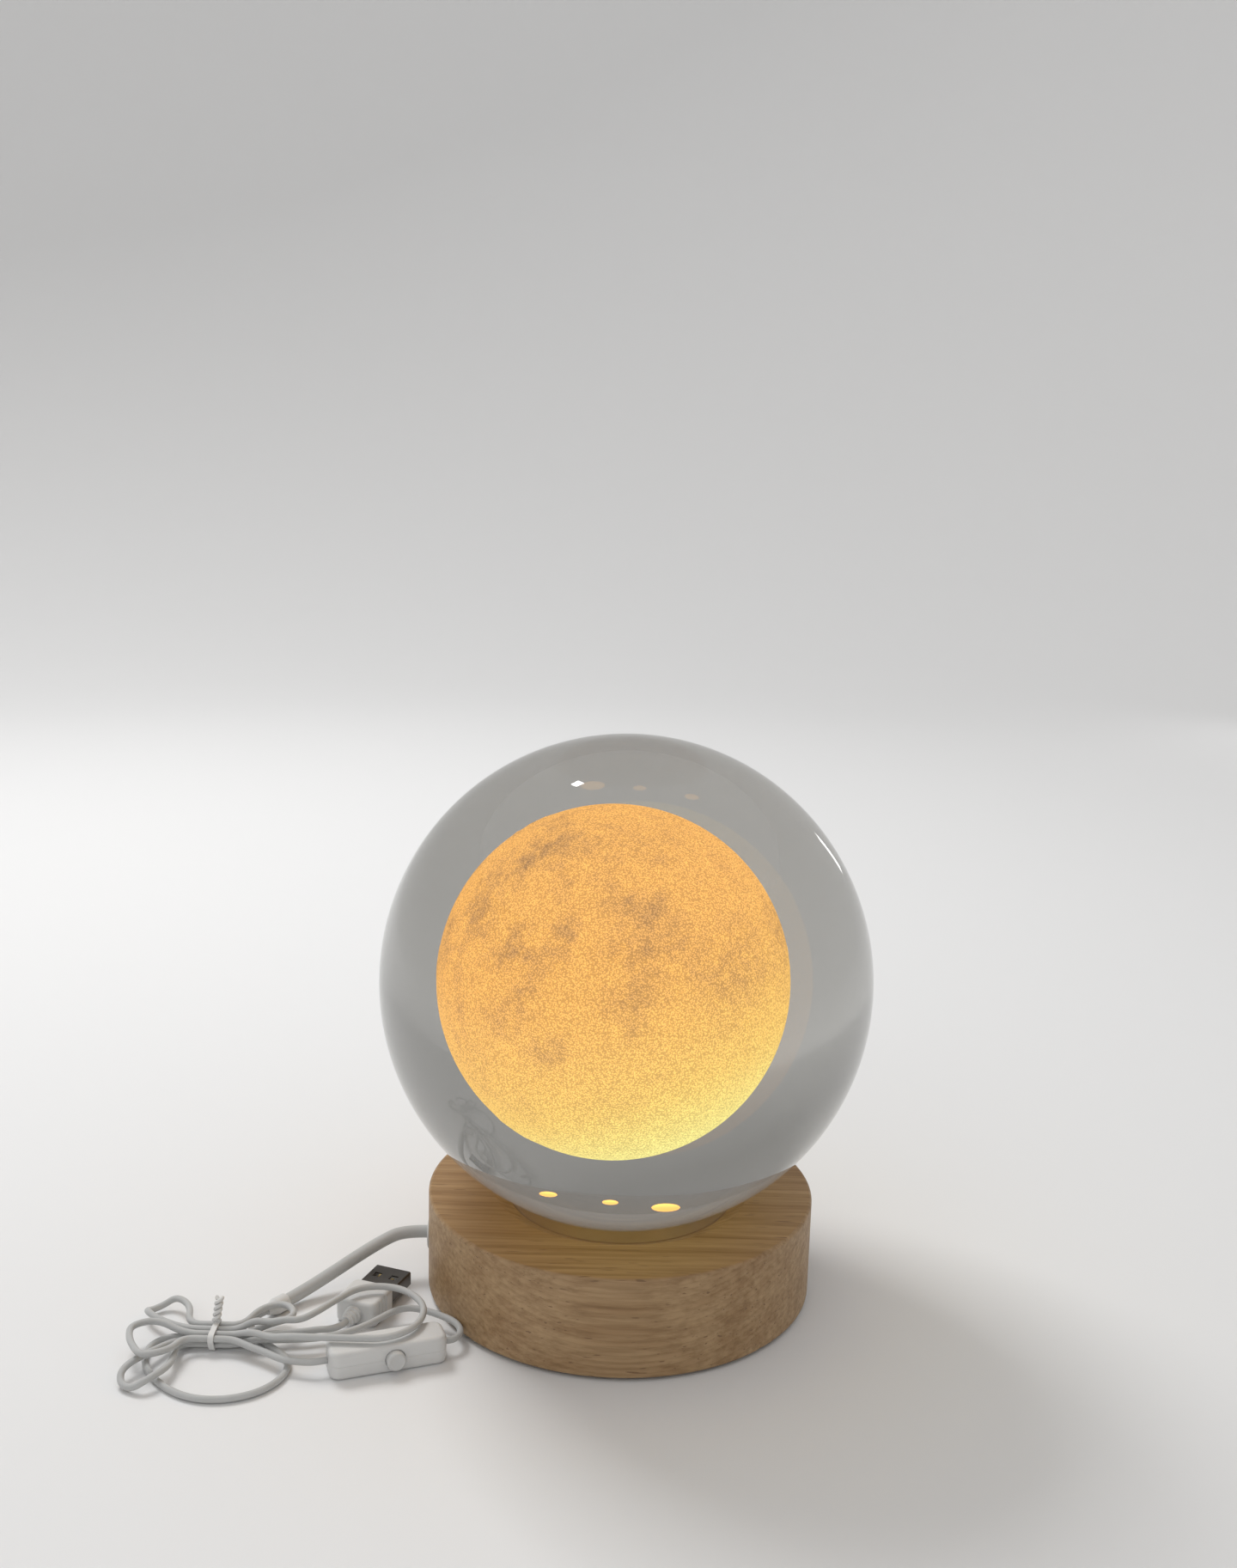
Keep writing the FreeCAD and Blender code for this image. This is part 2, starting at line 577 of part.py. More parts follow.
def inner_lead():
    """The stretch of lead inside the base."""
    return rod((-GROMMET_FACE, 0, LEAD_HEIGHT), (1, 0, 0), GROMMET_FACE - LEAD_INNER_END, LEAD_RADIUS)


def cord_reducer():
    """Moulded joint between the thick lead and the thin cord."""
    start = Vector(*LEAD_ROUTE[-1])
    end = Vector(*REDUCER_END)
    length = (end - start).Length
    profile = [(0, 0), (2.35, 0), (2.6, 0.3), (2.6, length * 0.55), (1.35, length), (0, length)]
    joint = turned(profile)
    joint.Placement = FreeCAD.Placement(start, FreeCAD.Rotation(UP, end - start))
    return joint


def twist_tie():
    """Flat band round the seven cords, and its twisted tail."""
    corners = [LOW_NEAR, LOW_FAR, TOP_FAR, TOP_NEAR]
    points = [Vector(TIE_X - TIE_WIDTH / 2, TIE_Y + y, z) for y, z in corners]
    core = Part.Face(Part.makePolygon(points + points[:1]))
    outside = core.makeOffset2D(CORD_RADIUS + 0.05 + TIE_THICKNESS)
    inside = core.makeOffset2D(CORD_RADIUS + 0.05)
    band = outside.cut(inside).extrude(ACROSS * TIE_WIDTH)
    strand_radius = 0.6
    tail_length = 6.6
    foot = Vector(TIE_X, TIE_Y + 2.4, SLOT_LOW + SLOT_ROW + CORD_RADIUS + TIE_THICKNESS + 0.6)
    lean = Vector(0.08, 0.38, 0.92)
    solids = [band]
    for start_turn in (0, 180):
        helix = Part.makeHelix(3.2, tail_length, 0.72)
        helix.rotate(Vector(0, 0, 0), UP, start_turn)
        edge = helix.Edges[0]
        heading = edge.tangentAt(edge.FirstParameter)
        ring = Part.Wire([Part.Circle(edge.valueAt(edge.FirstParameter), heading, strand_radius).toShape()])
        strand = Part.Wire(helix.Edges).makePipeShell([ring], True, True)
        strand.Placement = FreeCAD.Placement(foot, FreeCAD.Rotation(UP, lean))
        solids.append(strand)
    return Part.makeCompound(solids)


# ---------------------------------------------------------------- inline switch
def switch_cavity():
    length = SWITCH_LENGTH - 2 * SWITCH_WALL
    width = SWITCH_WIDTH - 2 * SWITCH_WALL
    return rounded_block(length, width, SWITCH_WALL, SWITCH_HEIGHT - SWITCH_WALL, SWITCH_CORNER - 1.5)


def switch_blank():
    """The outside of the case: a long rounded bar, softened all round."""
    bar = rounded_block(SWITCH_LENGTH, SWITCH_WIDTH, 0, SWITCH_HEIGHT, SWITCH_CORNER)
    flat = [e for e in bar.Edges if abs(e.Vertexes[0].Z - e.Vertexes[-1].Z) < 0.01]
    return bar.makeFillet(1.4, flat)


SWITCH_SCREW_ALONG = 11.5
SWITCH_SCREW_ACROSS = 1.6


def switch_half(z0, z1):
    """One half of the hollow case, with its screw posts and the openings it shares."""
    shell = switch_blank().cut(switch_cavity())
    for end in (-1, 1):
        shell = shell.fuse(rod((end * SWITCH_SCREW_ALONG, SWITCH_SCREW_ACROSS, 1), UP,
                               SWITCH_HEIGHT - 2, 1.7))
    front = -SWITCH_WIDTH / 2
    shell = shell.cut(rod((BUTTON_ALONG, front - 1, SWITCH_SPLIT), (0, 1, 0),
                          SWITCH_WALL + BUTTON_TRAVEL + 1.7, BUTTON_RADIUS + 0.15))
    for end in (-1, 1):
        shell = shell.cut(rod((end * SWITCH_SCREW_ALONG, SWITCH_SCREW_ACROSS, -1), UP, 7.5, 0.85))
        shell = shell.cut(rod((end * SWITCH_SCREW_ALONG, SWITCH_SCREW_ACROSS, -1), UP, 2.2, 1.45))
    slab = block(-SWITCH_LENGTH, SWITCH_LENGTH, -SWITCH_WIDTH, SWITCH_WIDTH, z0, z1)
    return placed(shell.common(slab).removeSplitter(), SWITCH_X, SWITCH_Y, SWITCH_TURN)


def switch_screws():
    screw = turned([(0, 0.3), (1.35, 0.3), (1.35, 1.1), (0.8, 1.1), (0.8, 5.6), (0.1, 6.3), (0, 6.3)])
    pair = [screw.translated(Vector(end * SWITCH_SCREW_ALONG, SWITCH_SCREW_ACROSS, 0)) for end in (-1, 1)]
    return placed(Part.makeCompound(pair), SWITCH_X, SWITCH_Y, SWITCH_TURN)


BRIDGE_FRONT = 0.4
BRIDGE_BACK = 0.7
CONTACT_FRONT = 2.45
CAVITY_BACK = SWITCH_WIDTH / 2 - SWITCH_WALL
CAVITY_FRONT = -CAVITY_BACK


def switch_button():
    """Push button on the switch's long side, with its flange and stem inside the case."""
    face = -SWITCH_WIDTH / 2 - BUTTON_PROUD
    flange_front = CAVITY_FRONT + 0.1
    button = rod((BUTTON_ALONG, face, SWITCH_SPLIT), (0, 1, 0), flange_front - face, BUTTON_RADIUS)
    outer_edge = [e for e in button.Edges if e.Length > 10 and e.Vertexes[0].Y < face + 0.1]
    button = button.makeFillet(0.7, outer_edge)
    dish = Part.makeSphere(9.0, Vector(BUTTON_ALONG, face - 8.75, SWITCH_SPLIT))
    button = button.cut(dish)
    flange = block(BUTTON_ALONG - 3.6, BUTTON_ALONG + 3.6, flange_front, flange_front + 0.8,
                   SWITCH_SPLIT - 2.4, SWITCH_SPLIT + 2.4)
    stem = rod((BUTTON_ALONG, flange_front, SWITCH_SPLIT), (0, 1, 0), BRIDGE_FRONT - flange_front, 1.0)
    return placed(button.fuse([flange, stem]).removeSplitter(), SWITCH_X, SWITCH_Y, SWITCH_TURN)


def contact_bridge():
    """Spring-metal strip on the button's stem, which joins the two contacts when pressed."""
    strip = block(BUTTON_ALONG - 4.4, BUTTON_ALONG + 4.4, BRIDGE_FRONT, BRIDGE_BACK,
                  SWITCH_SPLIT - 1.2, SWITCH_SPLIT + 1.2)
    return placed(strip, SWITCH_X, SWITCH_Y, SWITCH_TURN)


def fixed_contacts():
    pads = []
    for side in (-1, 1):
        middle = BUTTON_ALONG + side * 3.4
        blade = block(middle - 0.9, middle + 0.9, CAVITY_BACK - 0.5, CAVITY_BACK - FIT_GAP,
                      SWITCH_SPLIT - 2.2, SWITCH_SPLIT + 2.2)
        rivet = rod((middle, CONTACT_FRONT, SWITCH_SPLIT), (0, 1, 0), CAVITY_BACK - 0.3 - CONTACT_FRONT, 0.7)
        pads.append(blade.fuse(rivet).removeSplitter())
    return placed(Part.makeCompound(pads), SWITCH_X, SWITCH_Y, SWITCH_TURN)


def button_spring():
    """Small coil behind the bridge that pushes the button out again."""
    wire = 0.14
    length = CAVITY_BACK - BRIDGE_BACK - 2 * wire - 0.1
    helix = Part.makeHelix(length / 3.5, length, 1.0)
    edge = helix.Edges[0]
    heading = edge.tangentAt(edge.FirstParameter)
    ring = Part.Wire([Part.Circle(edge.valueAt(edge.FirstParameter), heading, wire).toShape()])
    coil = Part.Wire(helix.Edges).makePipeShell([ring], True, True)
    coil.rotate(Vector(0, 0, 0), ACROSS, -90)
    coil.translate(Vector(BUTTON_ALONG, BRIDGE_BACK + wire + 0.05, SWITCH_SPLIT))
    return placed(coil, SWITCH_X, SWITCH_Y, SWITCH_TURN)


# ---------------------------------------------------------------- plug
BODY_END = PLUG_RELIEF + PLUG_BODY


def on_plug(shape):
    """Move a piece drawn along +X at table height to the plug's place."""
    return placed(shape.translated(Vector(0, 0, PLUG_HEIGHT)), PLUG_X, PLUG_Y, PLUG_AIM)


def plug_relief():
    """Ribbed taper that protects the cord where it enters the plug."""
    profile = [(0, 0), (1.5, 0)]
    ribs = 3
    for i in range(ribs):
        z = 0.6 + i * 1.4
        radius = 1.6 + 0.35 * i
        profile += [(radius, z), (radius + 0.35, z + 0.2), (radius + 0.35, z + 0.8), (radius, z + 1.0)]
    profile += [(2.5, PLUG_RELIEF), (0, PLUG_RELIEF)]
    taper = turned(profile)
    taper.rotate(Vector(0, 0, 0), Vector(0, 1, 0), 90)
    return on_plug(taper)


def plug_body():
    """Moulded grip, with a socket for the metal shell and finger grooves on its sides."""
    half = PLUG_BODY_HEIGHT / 2
    grip = rounded_block(PLUG_BODY, PLUG_BODY_WIDTH, -half, half, 2.2)
    grip = grip.makeFillet(1.2, [e for e in grip.Edges if abs(e.Vertexes[0].Z - e.Vertexes[-1].Z) < 0.01])
    grip.translate(Vector(PLUG_RELIEF + PLUG_BODY / 2, 0, 0))
    socket = block(BODY_END - SHELL_INSIDE, BODY_END + 1, -SHELL_WIDTH / 2 - 0.03, SHELL_WIDTH / 2 + 0.03,
                   -SHELL_HEIGHT / 2 - 0.03, SHELL_HEIGHT / 2 + 0.03)
    grip = grip.cut(socket)
    for side in (-1, 1):
        for i in range(3):
            x = PLUG_RELIEF + 3.4 + i * 2.0
            grip = grip.cut(rod((x, side * (PLUG_BODY_WIDTH / 2 + 0.25), -5), UP, 10, 0.6))
    return on_plug(grip)


def plug_shell():
    """Folded metal shell with two latch windows in each broad face."""
    x0 = BODY_END - SHELL_INSIDE
    x1 = BODY_END + SHELL_PROUD
    w = SHELL_WIDTH / 2
    h = SHELL_HEIGHT / 2
    shell = block(x0, x1, -w, w, -h, h)
    shell = shell.makeFillet(0.5, [e for e in shell.Edges if abs(e.tangentAt(e.FirstParameter).x) > 0.9])
    shell = shell.cut(block(x0 - 1, x1 + 1, -w + SHELL_WALL, w - SHELL_WALL, -h + SHELL_WALL, h - SHELL_WALL))
    for side in (-1, 1):
        middle = side * 2.8
        shell = shell.cut(block(x1 - 6.6, x1 - 4.2, middle - 1.2, middle + 1.2, -h - 1, h + 1))
    return on_plug(shell)


TONGUE_TOP = 0.05


def plug_tongue():
    """Insulating tongue that carries the four contacts."""
    w = SHELL_WIDTH / 2 - SHELL_WALL - 0.05
    low = -SHELL_HEIGHT / 2 + SHELL_WALL + 0.02
    x0 = BODY_END - SHELL_INSIDE
    tongue = block(x0, BODY_END + SHELL_PROUD - 0.6, -w, w, low, TONGUE_TOP)
    nose = [e for e in tongue.Edges if e.CenterOfMass.x > BODY_END + SHELL_PROUD - 0.7
            and e.CenterOfMass.z > TONGUE_TOP - 0.1 and e.Length > 5]
    return on_plug(tongue.makeChamfer(0.5, nose))


def plug_contacts():
    strips = []
    for i, reach in enumerate((1.6, 2.6, 2.6, 1.6)):
        middle = -3.5 + i * 2.33
        strips.append(block(BODY_END - 1, BODY_END + SHELL_PROUD - reach, middle - 0.5, middle + 0.5,
                            TONGUE_TOP + 0.01, TONGUE_TOP + 0.2))
    return on_plug(Part.makeCompound(strips))


# ---------------------------------------------------------------- all the pieces
def main():
    save("crystal_ball", crystal_ball())
    save("etched_moon", etched_moon())
    save("seat_ring", seat_ring())
    save("wood_base", wood_base())
    save("base_cover", base_cover())
    save("cover_screws", cover_screws())
    save("feet", feet())
    save("light_window", light_window())
    save("light_board", light_board())
    save("board_screws", board_screws())
    save("lights", lights())
    save("light_resistors", light_resistors())
    save("feed_wire_red", feed_wire(1))
    save("feed_wire_black", feed_wire(-1))
    save("lead_saddle", lead_saddle())
    save("saddle_screws", saddle_screws())
    save("lead_grommet", lead_grommet())
    save("inner_lead", inner_lead())
    save("lead_cord", cord_tube("lead_cord", LEAD_ROUTE, LEAD_RADIUS))
    save("cord_reducer", cord_reducer())
    save("cord_bottom_loop", arc_tube("cord_bottom_loop", BOTTOM_LOOP_NODES))
    save("cord_hank", arc_tube("cord_hank", HANK_NODES))
    save("cord_to_switch", arc_tube("cord_to_switch", TO_SWITCH_NODES))
    save("cord_from_switch", arc_tube("cord_from_switch", FROM_SWITCH_NODES))
    save("cord_plug_loop", arc_tube("cord_plug_loop", PLUG_LOOP_NODES))
    save("cord_to_plug", arc_tube("cord_to_plug", TO_PLUG_NODES))
    save("twist_tie", twist_tie())
    save("switch_case_top", switch_half(SWITCH_SPLIT + 0.02, SWITCH_HEIGHT + 1))
    save("switch_case_bottom", switch_half(-1, SWITCH_SPLIT - 0.02))
    save("switch_screws", switch_screws())
    save("fixed_contacts", fixed_contacts())
    save("switch_button", switch_button())
    save("contact_bridge", contact_bridge())
    save("button_spring", button_spring())
    save("plug_relief", plug_relief())
    save("plug_body", plug_body())
    save("plug_shell", plug_shell())
    save("plug_tongue", plug_tongue())
    save("plug_contacts", plug_contacts())


main()
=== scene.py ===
# %% [markdown]
# # A glass ball lamp with a moon inside
# A solid glass ball rests on a turned wooden base.  Three small lights under it shine up into the
# glass, where a layer of tiny cracks, etched in the shape of a moon, catches the light.  The script
# loads the measured model first, so every piece made here is in metres and lands where it should.

# %% Load the measured model
import math

import bmesh
import bpy
from mathutils import Matrix, Vector


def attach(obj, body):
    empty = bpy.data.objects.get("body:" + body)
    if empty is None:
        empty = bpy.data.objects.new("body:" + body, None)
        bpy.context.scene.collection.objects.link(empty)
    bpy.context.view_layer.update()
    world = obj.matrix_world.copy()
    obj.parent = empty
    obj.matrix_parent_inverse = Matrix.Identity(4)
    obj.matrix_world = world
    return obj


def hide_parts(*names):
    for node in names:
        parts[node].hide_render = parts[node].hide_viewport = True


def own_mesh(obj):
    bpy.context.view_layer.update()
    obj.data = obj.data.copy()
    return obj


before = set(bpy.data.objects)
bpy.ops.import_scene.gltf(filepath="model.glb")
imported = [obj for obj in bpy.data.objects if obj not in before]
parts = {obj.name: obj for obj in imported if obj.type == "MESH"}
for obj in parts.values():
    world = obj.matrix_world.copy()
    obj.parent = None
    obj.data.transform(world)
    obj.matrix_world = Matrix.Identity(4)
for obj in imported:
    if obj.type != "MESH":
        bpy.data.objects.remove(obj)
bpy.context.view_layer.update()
print("loaded", len(parts), "measured pieces")

# %% [markdown]
# ## Sizes
# The same named sizes as the measured model, in metres.  A lathe-turned base and a polished ball
# need few numbers: radii and heights.

# %% Sizes
MM = 0.001
BALL_RADIUS = 75.0 * MM
BALL_CENTRE = Vector((0, 0, 100.05 * MM))
MOON_RADIUS = 35.7 * MM
MOON_CENTRE = Vector((-2.6 * MM, 0, 99.65 * MM))
LEAD_RADIUS = 2.0 * MM
CORD_RADIUS = 1.0 * MM
print("ball %.0f mm, moon %.1f mm" % (2000 * BALL_RADIUS, 2000 * MOON_RADIUS))

# %% [markdown]
# ## Making objects
# Every object starts the same way: its data gets a name and a place in the scene.  A mesh drawn
# with bmesh is smooth-shaded when it is done, since all that are drawn here are round.

# %% Object helpers
def add_object(name, data):
    made = bpy.data.objects.new(name, data)
    bpy.context.scene.collection.objects.link(made)
    return made


def add_piece(name, data, body, material):
    """A visible piece of the lamp, which moves with one of its bodies."""
    piece = add_object(name, data)
    data.materials.append(material)
    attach(piece, body)
    return piece


def smooth_mesh(name, work):
    """Turn finished bmesh work into a smooth-shaded mesh."""
    mesh = bpy.data.meshes.new(name)
    work.to_mesh(mesh)
    work.free()
    mesh.shade_smooth()
    return mesh


print("object helpers ready")

# %% [markdown]
# ## Camera
# The camera stands half a metre in front of the lamp, a little above the ball, and looks down by
# twelve degrees.  It is placed by its position and three directions, since a slight roll of the
# picture is easier to state that way than with Euler angles.

# %% Camera
PITCH = 0.215259
ROLL = 0.0264728
CAMERA_PLACE = Vector((-3.935, -486.507, 267.271)) * MM
SENSOR_HEIGHT = 36.0
FOCAL_PIXELS = 1941.213
PICTURE_HEIGHT = 1825.0

camera_data = bpy.data.cameras.new("camera")
camera_data.sensor_fit = "VERTICAL"
camera_data.sensor_height = SENSOR_HEIGHT
camera_data.lens = FOCAL_PIXELS * SENSOR_HEIGHT / PICTURE_HEIGHT
camera_data.clip_start = 0.01
camera = add_object("camera", camera_data)
level_right = Vector((1, 0, 0))
level_up = Vector((0, math.sin(PITCH), math.cos(PITCH)))
forward = Vector((0, math.cos(PITCH), -math.sin(PITCH)))
right = level_right * math.cos(ROLL) + level_up * math.sin(ROLL)
up = level_up * math.cos(ROLL) - level_right * math.sin(ROLL)
camera.matrix_world = Matrix((
    (right.x, up.x, -forward.x, CAMERA_PLACE.x),
    (right.y, up.y, -forward.y, CAMERA_PLACE.y),
    (right.z, up.z, -forward.z, CAMERA_PLACE.z),
    (0, 0, 0, 1)))
bpy.context.scene.camera = camera
print("lens %.2f mm" % camera_data.lens)

# %% [markdown]
# ## Node helpers
# Materials here are built from nodes.  These helpers add a node with its settings, join sockets and
# do the usual sums, so that each material below reads as a short list of what it is made of.

# %% Node helpers
def set_inputs(node, values):
    for name, value in values.items():
        node.inputs[name].default_value = value


def add_node(tree, kind, inputs=(), **settings):
    node = tree.nodes.new(kind)
    for name, value in settings.items():
        setattr(node, name, value)
    set_inputs(node, dict(inputs))
    return node


def connect(tree, source, target):
    tree.links.new(source, target)


def feed(tree, value, socket):
    """Join another node's output to a socket, or set a plain number or colour on it."""
    if hasattr(value, "node"):
        connect(tree, value, socket)
    elif isinstance(value, tuple):
        socket.default_value = (*value, 1)
    else:
        socket.default_value = value


def calculated(tree, operation, first, second=0.0):
    node = add_node(tree, "ShaderNodeMath", operation=operation)
    feed(tree, first, node.inputs[0])
    feed(tree, second, node.inputs[1])
    return node.outputs[0]


def times(tree, first, second):
    return calculated(tree, "MULTIPLY", first, second)


def plus(tree, first, second):
    return calculated(tree, "ADD", first, second)


def spread(tree, source, low, high, to_low=0.0, to_high=1.0):
    """Map a value from one range to another, held at the ends."""
    node = add_node(tree, "ShaderNodeMapRange", {"From Min": low, "From Max": high,
                                                 "To Min": to_low, "To Max": to_high})
    connect(tree, source, node.inputs["Value"])
    return node.outputs["Result"]


def mixed(tree, factor, first, second, blend="MIX"):
    """Mix two colours; factor, first and second are sockets or plain values."""
    node = add_node(tree, "ShaderNodeMix", data_type="RGBA", blend_type=blend)
    feed(tree, factor, node.inputs[0])
    feed(tree, first, node.inputs[6])
    feed(tree, second, node.inputs[7])
    return node.outputs[2]


def shades(tree, source, stops):
    """A colour ramp: stops are (place, colour) pairs."""
    ramp = add_node(tree, "ShaderNodeValToRGB")
    while len(ramp.color_ramp.elements) < len(stops):
        ramp.color_ramp.elements.new(0.5)
    for element, (place, color) in zip(ramp.color_ramp.elements, stops):
        element.position = place
        element.color = (*color, 1)
    connect(tree, source, ramp.inputs[0])
    return ramp.outputs["Color"]


def object_place(tree):
    """Where a point of the surface lies on the object, in metres."""
    return add_node(tree, "ShaderNodeTexCoord").outputs["Object"]


def noise(tree, place, scale, detail, roughness=0.5):
    """Soft noise; its scale is a number or a socket."""
    node = add_node(tree, "ShaderNodeTexNoise", {"Detail": detail, "Roughness": roughness})
    connect(tree, place, node.inputs["Vector"])
    feed(tree, scale, node.inputs["Scale"])
    return node.outputs["Fac"]


print("node helpers ready")

# %% [markdown]
# ## Groups and materials
# A group has named sockets and is built once.  A material has its own Principled shader, and places
# a group with its own values.

# %% Group and material helpers
def start_group(name, inputs, outputs):
    """An empty node group with named sockets; returns it with its input and output nodes."""
    group = bpy.data.node_groups.new(name, "ShaderNodeTree")
    for socket_name, kind, value in inputs:
        socket = group.interface.new_socket(socket_name, in_out="INPUT", socket_type=kind)
        socket.default_value = value
    for socket_name, kind in outputs:
        group.interface.new_socket(socket_name, in_out="OUTPUT", socket_type=kind)
    return group, group.nodes.new("NodeGroupInput"), group.nodes.new("NodeGroupOutput")


def start_material(name, values):
    """A material with these values on its shader; returns it with its tree and shader."""
    material = bpy.data.materials.new(name)
    material.use_nodes = True
    shader = material.node_tree.nodes["Principled BSDF"]
    set_inputs(shader, values)
    return material, material.node_tree, shader


def add_bump(tree, shader, height, strength, distance):
    bump = add_node(tree, "ShaderNodeBump", {"Strength": strength, "Distance": distance})
    connect(tree, height, bump.inputs["Height"])
    connect(tree, bump.outputs["Normal"], shader.inputs["Normal"])


print("group and material helpers ready")

# %% [markdown]
# ## Stage
# A pale round bowl: its floor turns up into a low wall far from the lamp, so no edge shows from any
# side and the glass has a plain surround to bend.

# %% Bowl
FLOOR_TONE = 0.80
BOWL_FLOOR = 1.1
BOWL_CURVE = 0.7
BOWL_WALL = 1.3
CURVE_STEPS = 12
BOWL_SIDES = 96


def bowl_profile():
    """Radius and height of each point from the middle of the floor to the top of the wall."""
    profile = [(0.0, 0.0), (BOWL_FLOOR, 0.0)]
    for step in range(1, CURVE_STEPS + 1):
        angle = math.radians(90 / CURVE_STEPS * step)
        profile.append((BOWL_FLOOR + BOWL_CURVE * math.sin(angle),
                        BOWL_CURVE * (1 - math.cos(angle))))
    return profile + [(BOWL_FLOOR + BOWL_CURVE, BOWL_WALL)]


def bowl_mesh():
    work = bmesh.new()
    points = [work.verts.new((radius, 0, height)) for radius, height in bowl_profile()]
    edges = [work.edges.new(pair) for pair in zip(points, points[1:])]
    bmesh.ops.spin(work, geom=points + edges, cent=(0, 0, 0), axis=(0, 0, 1), steps=BOWL_SIDES,
                   angle=2 * math.pi)
    bmesh.ops.remove_doubles(work, verts=work.verts, dist=1e-5)
    bmesh.ops.recalc_face_normals(work, faces=work.faces)
    return smooth_mesh("pale_bowl", work)


bowl = add_object("pale_bowl", bowl_mesh())
pale_paper = start_material("pale_paper", {
    "Base Color": (FLOOR_TONE, FLOOR_TONE, FLOOR_TONE, 1), "Roughness": 0.8,
    "Specular IOR Level": 0.1})[0]
bowl.data.materials.append(pale_paper)
print("bowl faces", len(bowl.data.polygons))

# %% [markdown]
# ## Light
# A soft key from above and behind lights the top of the wood and leaves its front in shade, as in
# the photograph, and the plain surround fills the rest.  The two soft lamps don't show in the
# glass.  Two small ones are mirrored in it and give it its glints.

# %% Light
BALL_AIM = (0, 0, 0.1)


def plain_surround(strength):
    world = bpy.data.worlds.new("surround")
    bpy.context.scene.world = world
    world.use_nodes = True
    set_inputs(world.node_tree.nodes["Background"],
               {"Color": (1, 0.99, 0.98, 1), "Strength": strength})


def lamp_at(name, position, aim, width, height, power, glints=False):
    data = bpy.data.lights.new(name, "AREA")
    data.shape = "RECTANGLE"
    data.size = width
    data.size_y = height
    data.energy = power
    lamp = add_object(name, data)
    lamp.location = position
    lamp.rotation_euler = (Vector(aim) - Vector(position)).to_track_quat("-Z", "Y").to_euler()
    lamp.visible_glossy = glints
    lamp.visible_transmission = False


plain_surround(0.62)
lamp_at("key_lamp", (-0.55, 0.60, 1.10), (0, 0, 0.02), 0.5, 0.5, 8.5)
lamp_at("front_lamp", (-0.5, -1.0, 0.9), (-0.05, 0, 0.04), 0.8, 0.6, 1.0)
lamp_at("glint_lamp", (-0.29, 0.52, 1.02), BALL_AIM, 0.05, 0.06, 0.2, True)
lamp_at("side_glint_lamp", (0.62, 1.03, 0.17), BALL_AIM, 0.05, 0.16, 0.08, True)
print("lamps", len(bpy.data.lights))

# %% [markdown]
# ## Surface mottle
# Moulded plastic, cord and rubber are never one flat colour: they carry faint clouds of tone, fine
# grain and slightly uneven gloss.  One group makes all three for every such material here.

# %% Surface mottle group
SHADED_TONE = (0.72, 0.70, 0.66)


def surface_mottle_group():
    group, given, result = start_group(
        "surface_mottle",
        [("Color", "NodeSocketColor", (0.8, 0.8, 0.8, 1)),
         ("Cloud Scale", "NodeSocketFloat", 60.0), ("Grain Scale", "NodeSocketFloat", 2500.0),
         ("Amount", "NodeSocketFloat", 0.15), ("Smooth", "NodeSocketFloat", 0.35),
         ("Rough", "NodeSocketFloat", 0.55)],
        [("Color", "NodeSocketColor"), ("Roughness", "NodeSocketFloat"),
         ("Height", "NodeSocketFloat")])
    place = object_place(group)
    clouds = noise(group, place, given.outputs["Cloud Scale"], 4.0, 0.6)
    grain = noise(group, place, given.outputs["Grain Scale"], 2.0)
    darker = mixed(group, 1.0, given.outputs["Color"], SHADED_TONE, "MULTIPLY")
    amount = times(group, spread(group, clouds, 0.35, 0.75), given.outputs["Amount"])
    color = mixed(group, amount, given.outputs["Color"], darker)
    span = calculated(group, "SUBTRACT", given.outputs["Rough"], given.outputs["Smooth"])
    gloss = plus(group, times(group, spread(group, clouds, 0.3, 0.7), span),
                 given.outputs["Smooth"])
    connect(group, color, result.inputs["Color"])
    connect(group, gloss, result.inputs["Roughness"])
    connect(group, grain, result.inputs["Height"])
    return group


surface_mottle = surface_mottle_group()
print("group", surface_mottle.name)

# %% [markdown]
# ## Growth rings
# The base is turned from one board of pale beech or pine.  Its growth rings are thin sheets that
# run along the board, so they are drawn as rings about a distant line parallel to the board.  That
# gives faint lines along the top and level lines on the side.

# %% Growth rings
HEART_BEHIND = 0.13
HEART_BELOW = 0.36
RING_DRIFT = 3.0 * MM


def along_grain(group, place, along, across):
    """The same place, drawn out along the board, for noise that runs with the fibres."""
    node = add_node(group, "ShaderNodeMapping", {"Scale": (along, across, across)})
    connect(group, place, node.inputs["Vector"])
    return node.outputs["Vector"]


def growth_rings(group, place, spacing):
    """Late wood, from 0 to 1, in slightly wavy rings about the tree's heart."""
    split = add_node(group, "ShaderNodeSeparateXYZ")
    connect(group, place, split.inputs[0])
    across = calculated(group, "SUBTRACT", split.outputs["Y"], HEART_BEHIND)
    upward = plus(group, split.outputs["Z"], HEART_BELOW)
    squares = plus(group, times(group, across, across), times(group, upward, upward))
    drift = noise(group, along_grain(group, place, 6, 22), 1.0, 3.0, 0.55)
    distance = plus(group, calculated(group, "SQRT", squares),
                    spread(group, drift, 0.2, 0.8, -RING_DRIFT, RING_DRIFT))
    ring = calculated(group, "FRACT", calculated(group, "DIVIDE", distance, spacing))
    return spread(group, calculated(group, "POWER", ring, 3.0), 0.05, 0.9)


print("heart of the tree %.0f mm below the table" % (HEART_BELOW / MM))

# %% [markdown]
# ## Pale wood
# Over the rings lie long fibres and broad bands of tone, both drawn out along the board, and short
# dark pores.  On the ends of the grain, at the left and right of the disc, the same noise shows as
# dots, as it does in the real wood.

